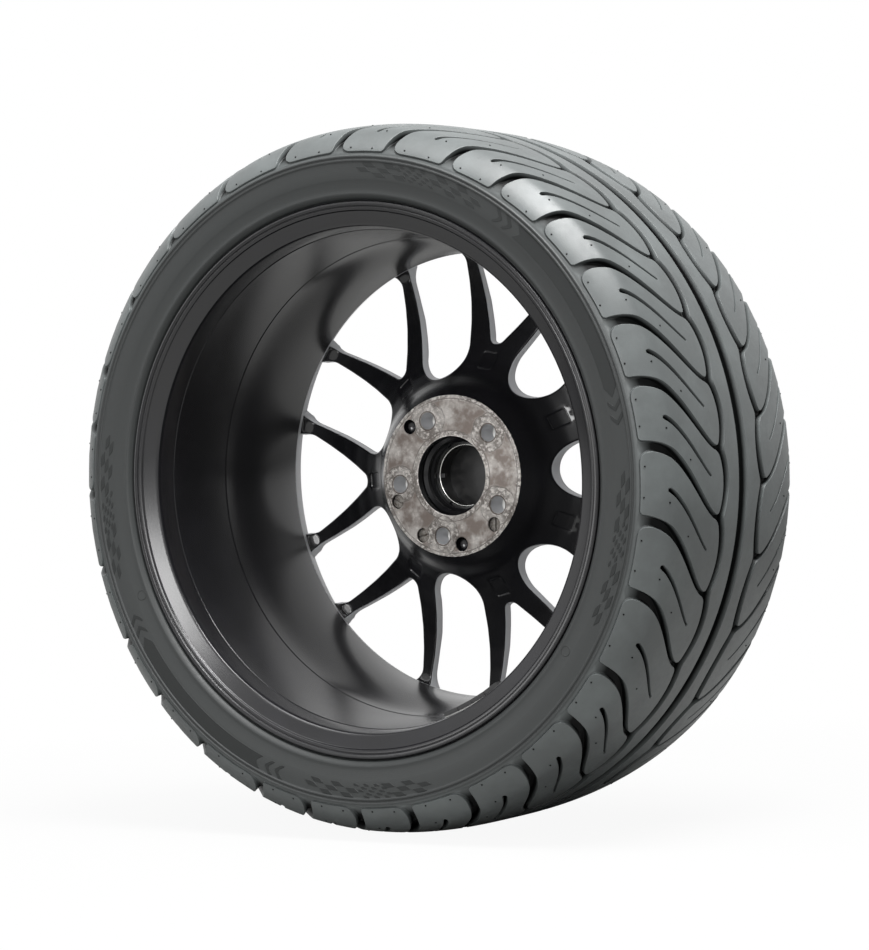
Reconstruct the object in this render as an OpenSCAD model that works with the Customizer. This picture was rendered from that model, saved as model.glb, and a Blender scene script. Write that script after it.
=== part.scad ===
// Low-profile road tyre mounted on a seven-pair cast alloy wheel.
// Millimetres. The axle runs along Y, and the side that faces the car is -Y.
// The origin is the wheel's centre, on the axle and on the middle plane of the rim.
// Angles go round the axle from +X towards +Z, as seen from the car's side.

/* [Tyre] */
// Outside diameter of the tyre
tyre_d = 642.7; // [630:0.1:665]
// Width across the sidewalls
section_w = 266; // [258:0.5:275]
// Width of the crown between the shoulders
crown_w = 223; // [210:1:230]
// How far the crown falls from its middle to a shoulder
crown_drop = 8.7; // [5:0.1:12]
// Diameter where the sidewalls are widest
widest_d = 568; // [560:1:576]
// Depth of the tread
tread_depth = 8; // [4:0.1:9]
// Rubber and belts under the tread grooves
under_tread = 7.5; // [5:0.5:10]
// Thickness of the sidewall at its widest
sidewall_t = 9; // [7:0.5:12]
// How far the rim protector stands out past the rim's flange
protector_out = 2.2; // [1:0.1:4]
// Clearance between the tyre and the rim
seat_gap = 0.2; // [0.1:0.05:0.5]

/* [Tread pattern] */
// Order of the small, medium and large pitches round the tyre
pitch_order = "MMMSLMMSSSSSSMSMLLLLSMLLMMLSSS";
// Length of a small pitch as a part of a medium one
small_pitch = 0.877; // [0.8:0.001:1]
// Length of a large pitch as a part of a medium one
large_pitch = 1.147; // [1:0.001:1.25]
// Angle of the first pitch
tread_start = -92.4; // [-180:0.1:180]
// Width of the straight middle groove
middle_groove_w = 16; // [10:0.5:20]
// Width of each rib beside the middle groove
rib_w = 19; // [14:0.5:24]
// How far the wavy grooves swing
wave = 7.2; // [4:0.1:10]
// Width of a wavy groove
wavy_groove_w = 10; // [7:0.5:12]
// Width of a cross groove where it meets the wavy groove
cross_w = 4; // [3:0.1:6]
// Width of a cross groove at the shoulder
cross_shoulder_w = 9; // [6:0.1:10]
// Angle a cross groove sweeps between the wavy groove and the shoulder
cross_sweep = 11.9; // [8:0.1:13]
// Width of the blind slot in each block
slot_w = 3.4; // [2:0.1:5]
// Radius of the wide corner at the shoulder end of each block
block_corner = 13; // [6:0.5:16]
// Angle by which the outboard pitches run ahead of the inboard ones
side_lead = 5.2; // [0:0.1:12]

/* [Rim] */
// Diameter of the bead seats
seat_d = 462; // [456:0.5:466]
// Width between the flanges
rim_w = 228.6; // [220:0.1:235]
// Height of a flange over the bead seat
flange_h = 17.5; // [15:0.1:19]
// Radius of a flange's curl
flange_r = 9.5; // [8:0.1:11]
// Thickness of the flange's edge past its crest
flange_edge = 2.2; // [1.5:0.1:4]
// Length of a bead seat
seat_len = 20; // [18:0.5:22]
// Taper of the bead seats in degrees
seat_taper = 5; // [4:0.5:6]
// Height of the hump that keeps a bead on its seat
hump_h = 0.8; // [0.4:0.1:1.5]
// Diameter of the well that lets the tyre be fitted
well_d = 428; // [424:1:432]
// Wall of the barrel
barrel_t = 4.6; // [4:0.1:6]

/* [Hub and spokes] */
// How far the mounting face lies outboard of the rim's middle
offset_y = 35; // [30:0.5:40]
// Diameter of the mounting face
pad_d = 151.4; // [146:0.2:156]
// Diameter of the centre bore
bore_d = 73.1; // [66:0.1:74]
// Length of the centre bore
bore_len = 8; // [6:0.5:12]
// Diameter of the hole that the cap clips into
cap_hole_d = 63; // [60:0.5:65]
// Thickness of the hub at its centre
hub_t = 50; // [46:0.5:54]
// Bolt circle diameter
pcd = 114.3; // [112:0.1:118]
// Number of bolt holes
bolts = 5; // [4:1:5]
// Angle of the first bolt hole
bolt_start = 42.9; // [0:0.1:72]
// Diameter of the bolt holes
bolt_hole_d = 16; // [14:0.1:17]
// Length of the straight part of a bolt hole
bolt_hole_len = 22; // [18:0.5:26]
// Diameter of the pockets round the nuts
nut_pocket_d = 29; // [26:0.5:30]
// Diameter of the blind pockets in the mounting face
blind_d = 13.6; // [11:0.1:14.5]
// Depth of the blind pockets
blind_depth = 9; // [6:0.5:12]
// Diameter of the circle that the blind pockets lie on
blind_circle_d = 129; // [126:0.5:131]
// Number of pairs of spokes
pairs = 7; // [6:1:7]
// Angle of the first pair of spokes
pair_start = 27.2; // [0:0.1:60]
// Radius where the foot of a wide window starts
wide_foot = 95; // [92:0.1:104]
// Half the width of a wide window at its foot
wide_half = 25.4; // [20:0.1:27]
// Angle at which the sides of a wide window spread
wide_spread = 4.8; // [2:0.1:7]
// Radius where the tip of a narrow window starts
narrow_tip = 125.2; // [120:0.1:134]
// Radius of the tip of a narrow window
narrow_tip_r = 7.5; // [5:0.1:9]
// Angle at which the sides of a narrow window spread
narrow_spread = 30; // [27:0.1:31]
// Radius of the windows' outer corners
corner_r = 7; // [4:0.5:10]
// Thickness of a spoke at its root
root_t = 26; // [23:0.5:30]
// Thickness of a spoke near the rim
spoke_t = 15; // [12:0.5:18]

/* [Valve] */
// Angle of the valve round the rim
valve_angle = 1.5; // [0:0.5:3]
// Diameter of the valve hole
valve_hole_d = 11.5; // [11:0.1:12]
// Thickness of the rim under the valve's nut
valve_wall = 6; // [5:0.5:8]
// Length of the stem outside the rim
stem_out = 27; // [24:0.5:32]
// Diameter of the stem's threads under the cap
stem_d = 7.7; // [7.5:0.05:8]
// Diameter of the valve cap
cap_d = 10; // [9.6:0.1:11]
// Travel of the valve pin
pin_travel = 1; // [0.6:0.1:1.4]
// Clearance between the pieces of the valve
valve_gap = 0.15; // [0.1:0.05:0.3]

/* [Centre cap] */
// Diameter of the cap's face
face_d = 68.4; // [66:0.1:69]
// Thickness of the cap's face at its edge
face_t = 3; // [2:0.1:4]
// Rise of the cap's face at its middle
face_rise = 1.8; // [0.5:0.1:3]
// Depth of the cap's clips
clip_depth = 22; // [16:0.5:26]
// Number of the cap's clips
clips = 6; // [4:1:8]
// Thickness of the cap's clips
clip_t = 1.6; // [1.2:0.1:2.4]
// Diameter of the spring wire inside the clips
wire_d = 1.6; // [1:0.1:2]
// Clearance between the cap and the hub
cap_gap = 0.2; // [0.1:0.05:0.4]

/* [Balance weights] */
// Number of adhesive weights
weights = 4; // [1:1:8]
// Angle of the middle of the row of weights
weight_angle = -63; // [-80:0.5:-50]
// Length of one weight round the barrel
weight_l = 15; // [12:0.5:20]
// Width of a weight across the barrel
weight_w = 11; // [9:0.5:14]
// Thickness of a weight
weight_t = 3.6; // [2:0.1:5]
// Gap between two weights
weight_gap = 0.8; // [0.4:0.1:2]
// Thickness of the adhesive tape
tape_t = 0.8; // [0.5:0.1:1.2]

/* [Hidden] */
$fn = 96;

// Sections are lists of [radius, place along the axle], and the outboard side is positive.
module axle() { rotate([-90, 0, 0]) children(); }
module turned(a) { rotate([0, 0, -a]) children(); }
function arc(c, r, a0, a1, n) = [for (i = [0:n]) let (a = a0 + (a1 - a0) * i / n)
    [c[0] + r * cos(a), c[1] + r * sin(a)]];
function reversed(p) = [for (i = [len(p) - 1:-1:0]) p[i]];
function mirrored(p) = [for (q = reversed(p)) [q[0], -q[1]]];
function smooth(t) = t < 0 ? 0 : t > 1 ? 1 : t * t * (3 - 2 * t);

// Rim: the tyre's side of it, from the edge of a flange to the hump.
half_rim = rim_w / 2;
seat_r = seat_d / 2;
crest_r = seat_r + flange_h;
curl_c = [crest_r - flange_r, half_rim + flange_r];
heel_r = 6.5;
edge_z = half_rim + flange_r + flange_edge;
seat_end = [seat_r - (seat_len - heel_r) * tan(seat_taper), half_rim - seat_len];
hump_r = seat_end[0] + hump_h;
hump_z = seat_end[1] - 2;
flange_half = concat(
    [[crest_r - 1.5, edge_z], [crest_r - 0.3, edge_z - 1]],
    arc(curl_c, flange_r, 0, -90, 6),
    arc([seat_r + heel_r, half_rim - heel_r], heel_r, 90, 180, 4),
    [seat_end, [hump_r, hump_z], [hump_r, hump_z - 3]]);

// The barrel falls in a smooth step from the inboard ledge to the well.
ledge_r = hump_r - 2.8;
ledge_z = 3 - hump_z + 9;
step_start = [ledge_r - 3.9, -21];
well_r = well_d / 2;
well_z = [50, 74];
well_top = [hump_r, hump_z - 3];
step_n = 8;
function step_r(z) = step_start[0] + (well_r - step_start[0]) * smooth((z - step_start[1]) / (well_z[0] - step_start[1]));
step_line = [for (i = [0:step_n]) let (z = step_start[1] + (well_z[0] - step_start[1]) * i / step_n) [step_r(z), z]];
barrel_out = concat([[ledge_r, ledge_z]], step_line, [[well_r, well_z[1]]]);
well_in_r = well_r - barrel_t;

// The lip on the car's side: the back of the flange, its inner edge and the start of the barrel.
lip_r = crest_r - 20.6;
lip_z = edge_z - 8.6;
back_lip = [[well_in_r, well_z[0]], for (p = reversed(step_line)) if (p[1] < well_z[0]) [p[0] - barrel_t, p[1]],
    [ledge_r - barrel_t + 0.6, ledge_z - 12], [lip_r - 2.6, 4 - lip_z], [lip_r - 1.6, 1.5 - lip_z], [lip_r, -lip_z],
    [crest_r - 5, 0.9 - edge_z], [crest_r - 3.4, -edge_z]];

// Hub and spokes: the back, from the barrel to the bore, and the front, from the bore to the outboard lip.
pad_r = pad_d / 2;
bore_r = bore_d / 2;
cap_hole_r = cap_hole_d / 2;
pad_z = offset_y;
front_z = offset_y + hub_t;
foot_z = offset_y + 23.7;
// The bends of the section stay clear of the tips of the windows.
tip_clear = 1.5;
elbow = [narrow_tip - tip_clear, offset_y + 45.5];
knee = elbow - [15, 9];
spoke_z = offset_y + 69;
cap_seat_z = front_z - face_t - 1;
bore_end = pad_z + 2 + bore_len;
disc_back = [[well_in_r, spoke_z], [well_in_r - 24, spoke_z - 2], [well_in_r - 44, spoke_z - 6], elbow + [21, 10.5], elbow,
    knee, [wide_foot - tip_clear, foot_z], [pad_r + 9, pad_z + 10.6], [pad_r, pad_z + 0.8],
    [pad_r - 0.8, pad_z], [bore_r + 1.6, pad_z], [bore_r, pad_z + 2], [bore_r, bore_end],
    [cap_hole_r + 1.8, bore_end + 3], [cap_hole_r + 1.8, bore_end + 8], [cap_hole_r, bore_end + 10]];
disc_front = [[cap_hole_r, cap_seat_z], [face_d / 2 + cap_gap, cap_seat_z], [face_d / 2 + cap_gap, front_z - 0.8],
    [face_d / 2 + 1, front_z], [70, front_z + 1], [wide_foot - tip_clear, foot_z + root_t], [elbow[0], elbow[1] + spoke_t + 2],
    [well_in_r - 44, spoke_z + spoke_t - 4.5], [well_in_r, spoke_z + spoke_t],
    [crest_r - 24, edge_z - 6], [crest_r - 15, edge_z - 4], [crest_r - 11, edge_z - 2.5], [crest_r - 7, edge_z]];
wheel_section = concat(mirrored(reversed(flange_half)), barrel_out, reversed(flange_half),
    reversed(disc_front), reversed(disc_back), back_lip);

// A window's outline lies in the plane across the axle, [out from the hub, round].
window_r = well_in_r - 0.4;
function angle_of(p) = atan2(p[1], p[0]);
function closed_outline(half) = concat(half, [for (i = [len(half) - 2:-1:1]) [half[i][0], -half[i][1]]]);
function outer_part(c, out_r, from_a) = concat(arc(c, corner_r, from_a, angle_of(c), 3),
    [for (k = [0.67, 0.33, 0]) let (a = angle_of(c) * k) [out_r * cos(a), out_r * sin(a)]]);
// The foot is half a circle of radius half, and its sides spread to the outer arc.
function window_outline(foot, half, spread, out_r) = let (
    c = [foot + half, 0], side_a = 90 + spread, n = [cos(side_a), sin(side_a)], d = [n[1], -n[0]],
    b = c + n * (half - corner_r), half_b = b * d, r = out_r - corner_r,
    corner = b + d * (sqrt(half_b * half_b - b * b + r * r) - half_b))
    closed_outline(concat(arc(c, half, 180, side_a, 7), outer_part(corner, out_r, side_a)));
function wide_window(out_r) = window_outline(wide_foot, wide_half, wide_spread, out_r);
function narrow_window(out_r) = window_outline(narrow_tip, narrow_tip_r, narrow_spread, out_r);

// Outside, a window is bounded by the barrel, which flares to the outboard lip in front of the well.
flare_z = well_z[1] + 10;
lip_in_r = crest_r - 17.5;
window_room = [[0, pad_z + 3], [window_r, pad_z + 3], [window_r, flare_z], [lip_in_r, edge_z - 8.5], [lip_in_r, edge_z + 5], [0, edge_z + 5]];
module window(outline) {
    intersection() {
        translate([0, 0, pad_z + 3]) linear_extrude(edge_z - pad_z + 2) polygon(outline);
        rotate_extrude() polygon(window_room);
    }
}

module wheel_body() { rotate_extrude() polygon(wheel_section); }

module bolt_holes() {
    cone_len = (nut_pocket_d - bolt_hole_d) / 2 / tan(30);
    for (i = [0:bolts - 1]) turned(bolt_start + 360 / bolts * i) translate([pcd / 2, 0, pad_z]) {
        translate([0, 0, -5]) cylinder(h = 6 + bolt_hole_len, d = bolt_hole_d);
        translate([0, 0, bolt_hole_len]) cylinder(h = cone_len, d1 = bolt_hole_d, d2 = nut_pocket_d);
        translate([0, 0, bolt_hole_len + cone_len]) cylinder(h = hub_t, d = nut_pocket_d);
    }
}

blind_angles = [133.4, 201, 239, 278.3, 314.6];
screw_angles = [blind_angles[1], blind_angles[2], blind_angles[4]];
module blind_pockets() {
    for (a = blind_angles) turned(a) translate([blind_circle_d / 2, 0, pad_z - 5]) cylinder(h = blind_depth + 5, d = blind_d);
}

// Each spoke root carries a shallow moulded panel on its back.
panel_size = [17, 16];
panel_depth = 1.2;
module root_panels() {
    slope = angle_of(elbow - [wide_foot - tip_clear, foot_z]);
    for (i = [0:pairs - 1]) turned(pair_start + 360 / pairs * i)
        translate([knee[0], 0, knee[1]]) rotate([0, -slope, 0])
            translate([0, 0, -panel_depth - 6]) linear_extrude(panel_depth * 2 + 6) polygon(rounded(panel_size, 2));
}
function rounded(size, r) = let (x = size[0] / 2 - r, y = size[1] / 2 - r)
    concat(arc([x, y], r, 0, 90, 3), arc([-x, y], r, 90, 180, 3), arc([-x, -y], r, 180, 270, 3), arc([x, -y], r, 270, 360, 3));

// The valve stands square on the slope between the well and the outboard hump; its +Z leaves the rim.
slope_a = atan2(well_top[0] - well_r, well_top[1] - well_z[1]);
valve_foot = ([well_r, well_z[1]] + well_top) / 2;
spot_depth = 0.3;
module at_valve() {
    turned(valve_angle) translate([valve_foot[0], 0, valve_foot[1]]) rotate([0, slope_a - 90, 0]) children();
}
nut_af = 14;
module valve_hole() {
    at_valve() {
        translate([0, 0, -20]) cylinder(h = 60, d = valve_hole_d);
        translate([0, 0, -8]) cylinder(h = 8 + spot_depth, r = 9.4);
        translate([0, 0, valve_wall + spot_depth]) cylinder(h = 30, r = nut_af / 2 / cos(30) + 1.2);
    }
}

module wheel() {
    color("#17181a") axle() difference() {
        wheel_body();
        for (i = [0:pairs - 1]) turned(pair_start + 360 / pairs * i) {
            window(narrow_window(lip_in_r + 1));
            turned(180 / pairs) window(wide_window(lip_in_r + 1));
        }
        bolt_holes();
        blind_pockets();
        root_panels();
        valve_hole();
    }
}

// Tyre: the crown falls as a cube of the distance from its middle, and a quarter wave rounds each shoulder.
R = tyre_d / 2;
widest_r = widest_d / 2;
shoulder_r = R - crown_drop;
half_section = section_w / 2;
groove_edge = middle_groove_w / 2;
function crown_z(k) = groove_edge + (crown_w / 2 - groove_edge) * k;
function crown_r(z) = R - crown_drop * pow(z / (crown_w / 2), 3);
function crown(k) = [crown_r(crown_z(k)), crown_z(k)];
function shoulder(k) = [shoulder_r - (shoulder_r - widest_r) * k,
    crown_w / 2 + (half_section - crown_w / 2) * sin(90 * k)];
function inset(p, a, t) = [p[0] - t * cos(a), p[1] - t * sin(a)];
crown_steps = [0, 0.32, 0.58, 0.8, 1];
block_end = 0.75;
shoulder_steps = [0.28, 0.54, block_end];
end_depth = 2;
top_half = concat([for (k = crown_steps) crown(k)], [for (k = shoulder_steps) shoulder(k)]);
floor_half = concat(
    [for (k = crown_steps) inset(crown(k), 18 * k, tread_depth)],
    [for (k = shoulder_steps) inset(shoulder(k), 18 + 72 * k, tread_depth + (end_depth - tread_depth) * k / block_end)]);
// The blocks' ring reaches into the carcass by this much.
root = 2;
ring_half = concat(top_half, [for (i = [len(floor_half) - 1:-1:0]) inset(floor_half[i], 14 * i, root)]);

// The sidewall carries two moulded rings, and the rim protector stands out past the flange.
ring_h = 0.9;
ring_line = [for (p = [[5.5, 1], [4.8, 0], [3.5, 0], [2.8, 1], [1.6, 1], [0.9, 0], [-0.4, 0], [-1.1, 1]])
    [widest_r + p[0], half_section - ring_h * p[1]]];
protector_z = edge_z + protector_out;
wall_line = [[widest_r - 9, half_section - 1.2], [widest_r - 18, half_section - 2.3], [crest_r + 9.5, protector_z + 0.8],
    [crest_r + 6, protector_z + 0.6], [crest_r + 3.6, protector_z], [crest_r + 1.8, edge_z + 0.4],
    [crest_r + 0.8, edge_z - 1.2]];
toe = [seat_end[0] + seat_gap, seat_end[1] + 0.4];
bead_line = concat(arc(curl_c, flange_r + seat_gap, 0, -90, 6),
    arc([seat_r + heel_r + 1, half_rim - heel_r - 1], heel_r + 1 - seat_gap, 90, 180, 4), [toe]);
toe_w = 4;
bead_in = [crest_r - 4, half_rim - 10];
wall_in_z = half_section - sidewall_t;
// The liner's rise over the bead, its flat and its turn under the shoulder, each [up, in].
liner_rise = [[12, 7], [-14, 1.5], [-3, 0.8], [3, 6], [8.5, 13.5]];
inner_line = concat([[toe[0] + toe_w, toe[1] + 0.8], bead_in, [crest_r + liner_rise[0][0], wall_in_z - liner_rise[0][1]]],
    [for (i = [1:4]) [widest_r + liner_rise[i][0], wall_in_z - liner_rise[i][1]]]);
liner = [for (k = [0.85, 0.6, 0.3, 0]) let (z = crown_w / 2 * k) [crown_r(z) - tread_depth - under_tread, z]];
carcass_half = concat(floor_half, ring_line, wall_line, bead_line, inner_line, liner);
carcass_section = concat(carcass_half, [for (i = [len(carcass_half) - 2:-1:0]) [carcass_half[i][0], -carcass_half[i][1]]]);

// The pitches follow each other round the tyre in three lengths.
function pitch_part(c) = c == "S" ? small_pitch : c == "L" ? large_pitch : 1;
function parts_before(n) = n == 0 ? 0 : parts_before(n - 1) + pitch_part(pitch_order[n - 1]);
pitch_count = len(pitch_order);
medium_a = 360 / parts_before(pitch_count);

// A cross groove leaves the wavy groove at a cusp and sweeps out to the shoulder in one smooth S.
cusp_z = groove_edge + rib_w + wave;
cross_end = half_section + 5;
sweep_bias = 0.93;
function cross_angle(z) = cross_sweep * smooth(pow(max(z - cusp_z - 8, 0) / (half_section - cusp_z - 8), sweep_bias));
function cross_line(zs, mid, lead) = [for (z = zs) [R * sin(cross_angle(z) + lead - mid), z]];
function side_of(p, i) = let (d = p[min(i + 1, len(p) - 1)] - p[max(i - 1, 0)]) [d[1], -d[0]] / norm(d);
function band(p, right, left) = concat(
    [for (i = [0:len(p) - 1]) p[i] + side_of(p, i) * right[i]],
    [for (i = [len(p) - 1:-1:0]) p[i] - side_of(p, i) * left[i]]);

// Cuts an outline, [round, across], straight down into the tread at an angle.
module groove(outline, angle, side) {
    turned(angle) rotate([90, 0, 90]) translate([0, 0, widest_r - 8]) linear_extrude(R - widest_r + 12)
        polygon([for (p = outline) [-p[0], side * p[1]]]);
}
wave_steps = [-1, -0.7, -0.35, 0, 0.35, 0.7, 1];
module wavy_groove(angle, pitch_a, side) {
    half = R * sin(pitch_a / 2) + 0.4;
    rib = groove_edge + rib_w;
    groove(concat([for (s = wave_steps) [half * s, rib + wave * s * s]],
        [for (s = reversed(wave_steps)) [half * s, rib + wavy_groove_w + wave * s * s]]), angle + pitch_a / 2, side);
}
// The groove fans out round the block's wide corner, from where that starts to the block's end.
corner_steps = [[0.38, 0], [0.6, 0.23], [block_end, 1]];
module cross_groove(angle, side) {
    zs = [for (k = [0.02, 0.15, 0.27, 0.4, 0.54, 0.69, 0.84]) cusp_z + (half_section - cusp_z) * k];
    fans = [for (q = corner_steps) [shoulder(q[0])[1], block_corner * q[1]]];
    line = concat(zs, [for (q = fans) q[0]], [cross_end]);
    half_w = [for (z = line) (cross_w + (cross_shoulder_w - cross_w) * smooth((z - cusp_z) / (half_section - cusp_z))) / 2];
    fan = concat([for (z = zs) 0], [for (q = fans) q[1]], [block_corner]);
    groove(band(cross_line(line, cross_sweep / 2, 0), half_w, half_w + fan), angle + cross_sweep / 2, side);
}
module blind_slot(angle, pitch_a, side) {
    zs = [for (k = [0.24, 0.42, 0.6, 0.84]) cusp_z + (half_section - cusp_z) * k];
    mid = (cross_sweep + pitch_a) / 2;
    half_w = [for (k = [0.6, 0.8, 1, 1.1]) slot_w / 2 * k];
    groove(band(cross_line(zs, mid, pitch_a / 2), half_w, half_w), angle + mid, side);
}
module tread() {
    difference() {
        for (side = [-1, 1]) rotate_extrude() polygon([for (p = ring_half) [p[0], side * p[1]]]);
        for (side = [-1, 1], i = [0:pitch_count - 1]) {
            pitch_a = pitch_part(pitch_order[i]) * medium_a;
            angle = tread_start + parts_before(i) * medium_a + (side > 0 ? side_lead : 0);
            wavy_groove(angle, pitch_a, side);
            cross_groove(angle, side);
            blind_slot(angle, pitch_a, side);
        }
    }
}
module tyre() {
    color("#3a3b3d") axle() {
        rotate_extrude() polygon(carcass_section);
        tread();
    }
}

// Centre cap: a domed face, a ring of clips behind it and the wire that spreads them.
clip_r = cap_hole_r - cap_gap;
module centre_cap() {
    dome_r = (pow(face_d / 2 - 1, 2) + pow(face_rise, 2)) / 2 / face_rise;
    color("#101113") axle() difference() {
        union() {
            translate([0, 0, cap_seat_z]) cylinder(h = face_t, d = face_d);
            rotate_extrude() polygon(concat([[0, cap_seat_z + 1]],
                arc([0, cap_seat_z + face_t + face_rise - dome_r], dome_r, acos(0) - asin((face_d / 2 - 1) / dome_r), 90, 6)));
            translate([0, 0, cap_seat_z - clip_depth]) cylinder(h = clip_depth + 1, r = clip_r);
        }
        translate([0, 0, cap_seat_z - clip_depth - 1]) cylinder(h = clip_depth + 1, r = clip_r - clip_t);
        for (i = [0:clips - 1]) rotate([0, 0, 360 / clips * i]) translate([clip_r - clip_t * 2, -2, cap_seat_z - clip_depth - 1])
            cube([clip_t * 3, 4, clip_depth * 0.75]);
    }
}
module cap_wire() {
    ring_r = clip_r - clip_t - wire_d / 2 - 0.05;
    color("silver") axle() turned(-75) translate([0, 0, cap_seat_z - clip_depth + 3])
        rotate_extrude(angle = 338) translate([ring_r, 0]) circle(d = wire_d, $fn = 24);
}

// Slotted screws close three of the blind pockets.
screw_h = 5;
slot_size = [1.8, 1.6];
module pocket_screw(i) {
    color("#6f6a64") axle() turned(screw_angles[i]) translate([blind_circle_d / 2, 0, pad_z + blind_depth]) difference() {
        translate([0, 0, -screw_h]) cylinder(h = screw_h, d = blind_d - 0.3);
        rotate([0, 0, 45]) translate([-blind_d, -slot_size[0] / 2, -screw_h - 1]) cube([blind_d * 2, slot_size[0], slot_size[1] + 1]);
    }
}

// Adhesive weights on the barrel, just behind the inboard lip: flat blocks on one strip of tape.
weight_z = -97;
barrel_r = ledge_r - barrel_t + 0.6;
function weight_turn(w) = (weight_l + weight_gap) / barrel_r * 180 / PI * w;
module weight_tape() {
    a = weight_turn(weights);
    color("#8d8f90") axle() turned(weight_angle - a / 2) rotate_extrude(angle = -a)
        translate([barrel_r - 0.3 - tape_t, weight_z - weight_w / 2]) square([tape_t, weight_w]);
}
module weight(i) {
    a = weight_turn(i - (weights - 1) / 2);
    sag = barrel_r - sqrt(barrel_r * barrel_r - weight_l * weight_l / 4);
    color("#1d1e20") axle() turned(weight_angle + a)
        translate([barrel_r - 0.6 - tape_t - sag - weight_t, -weight_l / 2, weight_z - weight_w / 2])
            cube([weight_t, weight_l, weight_w]);
}

// Valve: a clamped metal stem with its core, nut and cap. Heights start at the tyre's side of the rim.
shank_d = 9.2;
flange_t = 2.5;
grommet_t = 3;
stem_bore_d = 5;
grommet_z = spot_depth - grommet_t;
wall_z = spot_depth + valve_wall;
washer_t = 1.2;
nut_t = 5;
stem_top = wall_z + stem_out;
thread_z = wall_z + washer_t + nut_t + 2.5;
module valve_stem() {
    color("#c9cbcd") axle() at_valve() difference() {
        union() {
            translate([0, 0, grommet_z - flange_t]) cylinder(h = flange_t, d = 16.4);
            translate([0, 0, grommet_z - 1]) cylinder(h = thread_z - grommet_z, d = shank_d);
            translate([0, 0, thread_z - 2]) cylinder(h = stem_top - thread_z + 2, d = stem_d);
        }
        translate([0, 0, grommet_z - flange_t - 1]) cylinder(h = stem_top, d = 3);
        translate([0, 0, core_z]) cylinder(h = stem_top, d = stem_bore_d);
    }
}
module valve_grommet() {
    color("#202124") axle() at_valve() difference() {
        union() {
            translate([0, 0, grommet_z]) cylinder(h = grommet_t, d = 17);
            cylinder(h = valve_wall - 1, d = valve_hole_d - valve_gap * 2);
        }
        translate([0, 0, -10]) cylinder(h = 30, d = shank_d + valve_gap * 2);
    }
}
module valve_washer() {
    color("#b9bbbd") axle() at_valve() translate([0, 0, wall_z]) difference() {
        cylinder(h = washer_t, d = nut_af + 1);
        translate([0, 0, -1]) cylinder(h = washer_t + 2, d = shank_d + valve_gap * 2);
    }
}
module valve_nut() {
    color("#c2c4c6") axle() at_valve() translate([0, 0, wall_z + washer_t]) difference() {
        cylinder(h = nut_t, d = nut_af / cos(30), $fn = 6);
        translate([0, 0, -1]) cylinder(h = nut_t + 2, d = shank_d + valve_gap * 2);
    }
}
core_len = 13;
core_z = stem_top - 18;
core_top = stem_top - 1;
core_d = stem_bore_d - valve_gap * 2;
pin_d = 1.3;
module core_body() {
    color("#c8a24e") axle() at_valve() translate([0, 0, core_top - core_len]) difference() {
        cylinder(h = core_len, d = core_d);
        translate([0, 0, -1]) cylinder(h = core_len + 2, d = pin_d + valve_gap * 2 + 0.6);
        translate([-core_d, -0.6, core_len - 1.5]) cube([core_d * 2, 1.2, 3]);
    }
}
seal_t = 1.6;
module core_pin() {
    color("#b0b2b4") axle() at_valve() union() {
        translate([0, 0, core_top - core_len - seal_t - 0.8]) cylinder(h = core_len + seal_t + 1.3, d = pin_d);
        translate([0, 0, core_top - core_len - seal_t - 0.8]) cylinder(h = 0.7, d = 3.4);
    }
}
module core_seal() {
    color("#1b1c1e") axle() at_valve() translate([0, 0, core_top - core_len - seal_t - 0.05]) difference() {
        cylinder(h = seal_t, d = 3.6);
        translate([0, 0, -1]) cylinder(h = seal_t + 2, d = pin_d + 0.1);
    }
}
cap_skirt = 9;
cap_top = 2.2;
module valve_cap() {
    color("#121315") axle() at_valve() difference() {
        translate([0, 0, stem_top - cap_skirt]) cylinder(h = cap_skirt + gasket_t + cap_top, d = cap_d);
        translate([0, 0, stem_top - cap_skirt - 1]) cylinder(h = cap_skirt + gasket_t + 1, d = stem_d + valve_gap * 2);
        for (i = [0:11]) rotate([0, 0, 30 * i]) translate([cap_d / 2 + 0.3, 0, stem_top - cap_skirt + 1.5])
            cylinder(h = cap_skirt - 1, d = 1.3);
    }
}
gasket_t = 1;
module valve_cap_gasket() {
    color("#2a2b2d") axle() at_valve() translate([0, 0, stem_top + valve_gap]) difference() {
        cylinder(h = gasket_t - valve_gap, d = stem_d);
        translate([0, 0, -1]) cylinder(h = gasket_t + 1, d = 3.4);
    }
}

tyre();
wheel();
centre_cap();
cap_wire();
for (i = [0:2]) pocket_screw(i);
for (i = [0:weights - 1]) weight(i);
weight_tape();
valve_stem();
valve_grommet();
valve_washer();
valve_nut();
core_body();
core_pin();
core_seal();
valve_cap();
valve_cap_gasket();
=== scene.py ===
"""The looks of a low-profile road tyre on a black cast alloy wheel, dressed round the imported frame.

The axle runs along Y and the side that faces the car is -Y. Lengths are in mm until a mesh is
written, and in metres in the studio. Angles go round the axle from +X towards +Z.
"""

import logging
import math
from dataclasses import dataclass, field
from enum import Enum
from typing import Callable, Iterable, Sequence

import bpy
import numpy as np
from mathutils import Matrix, Vector
from mathutils.geometry import delaunay_2d_cdt

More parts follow.
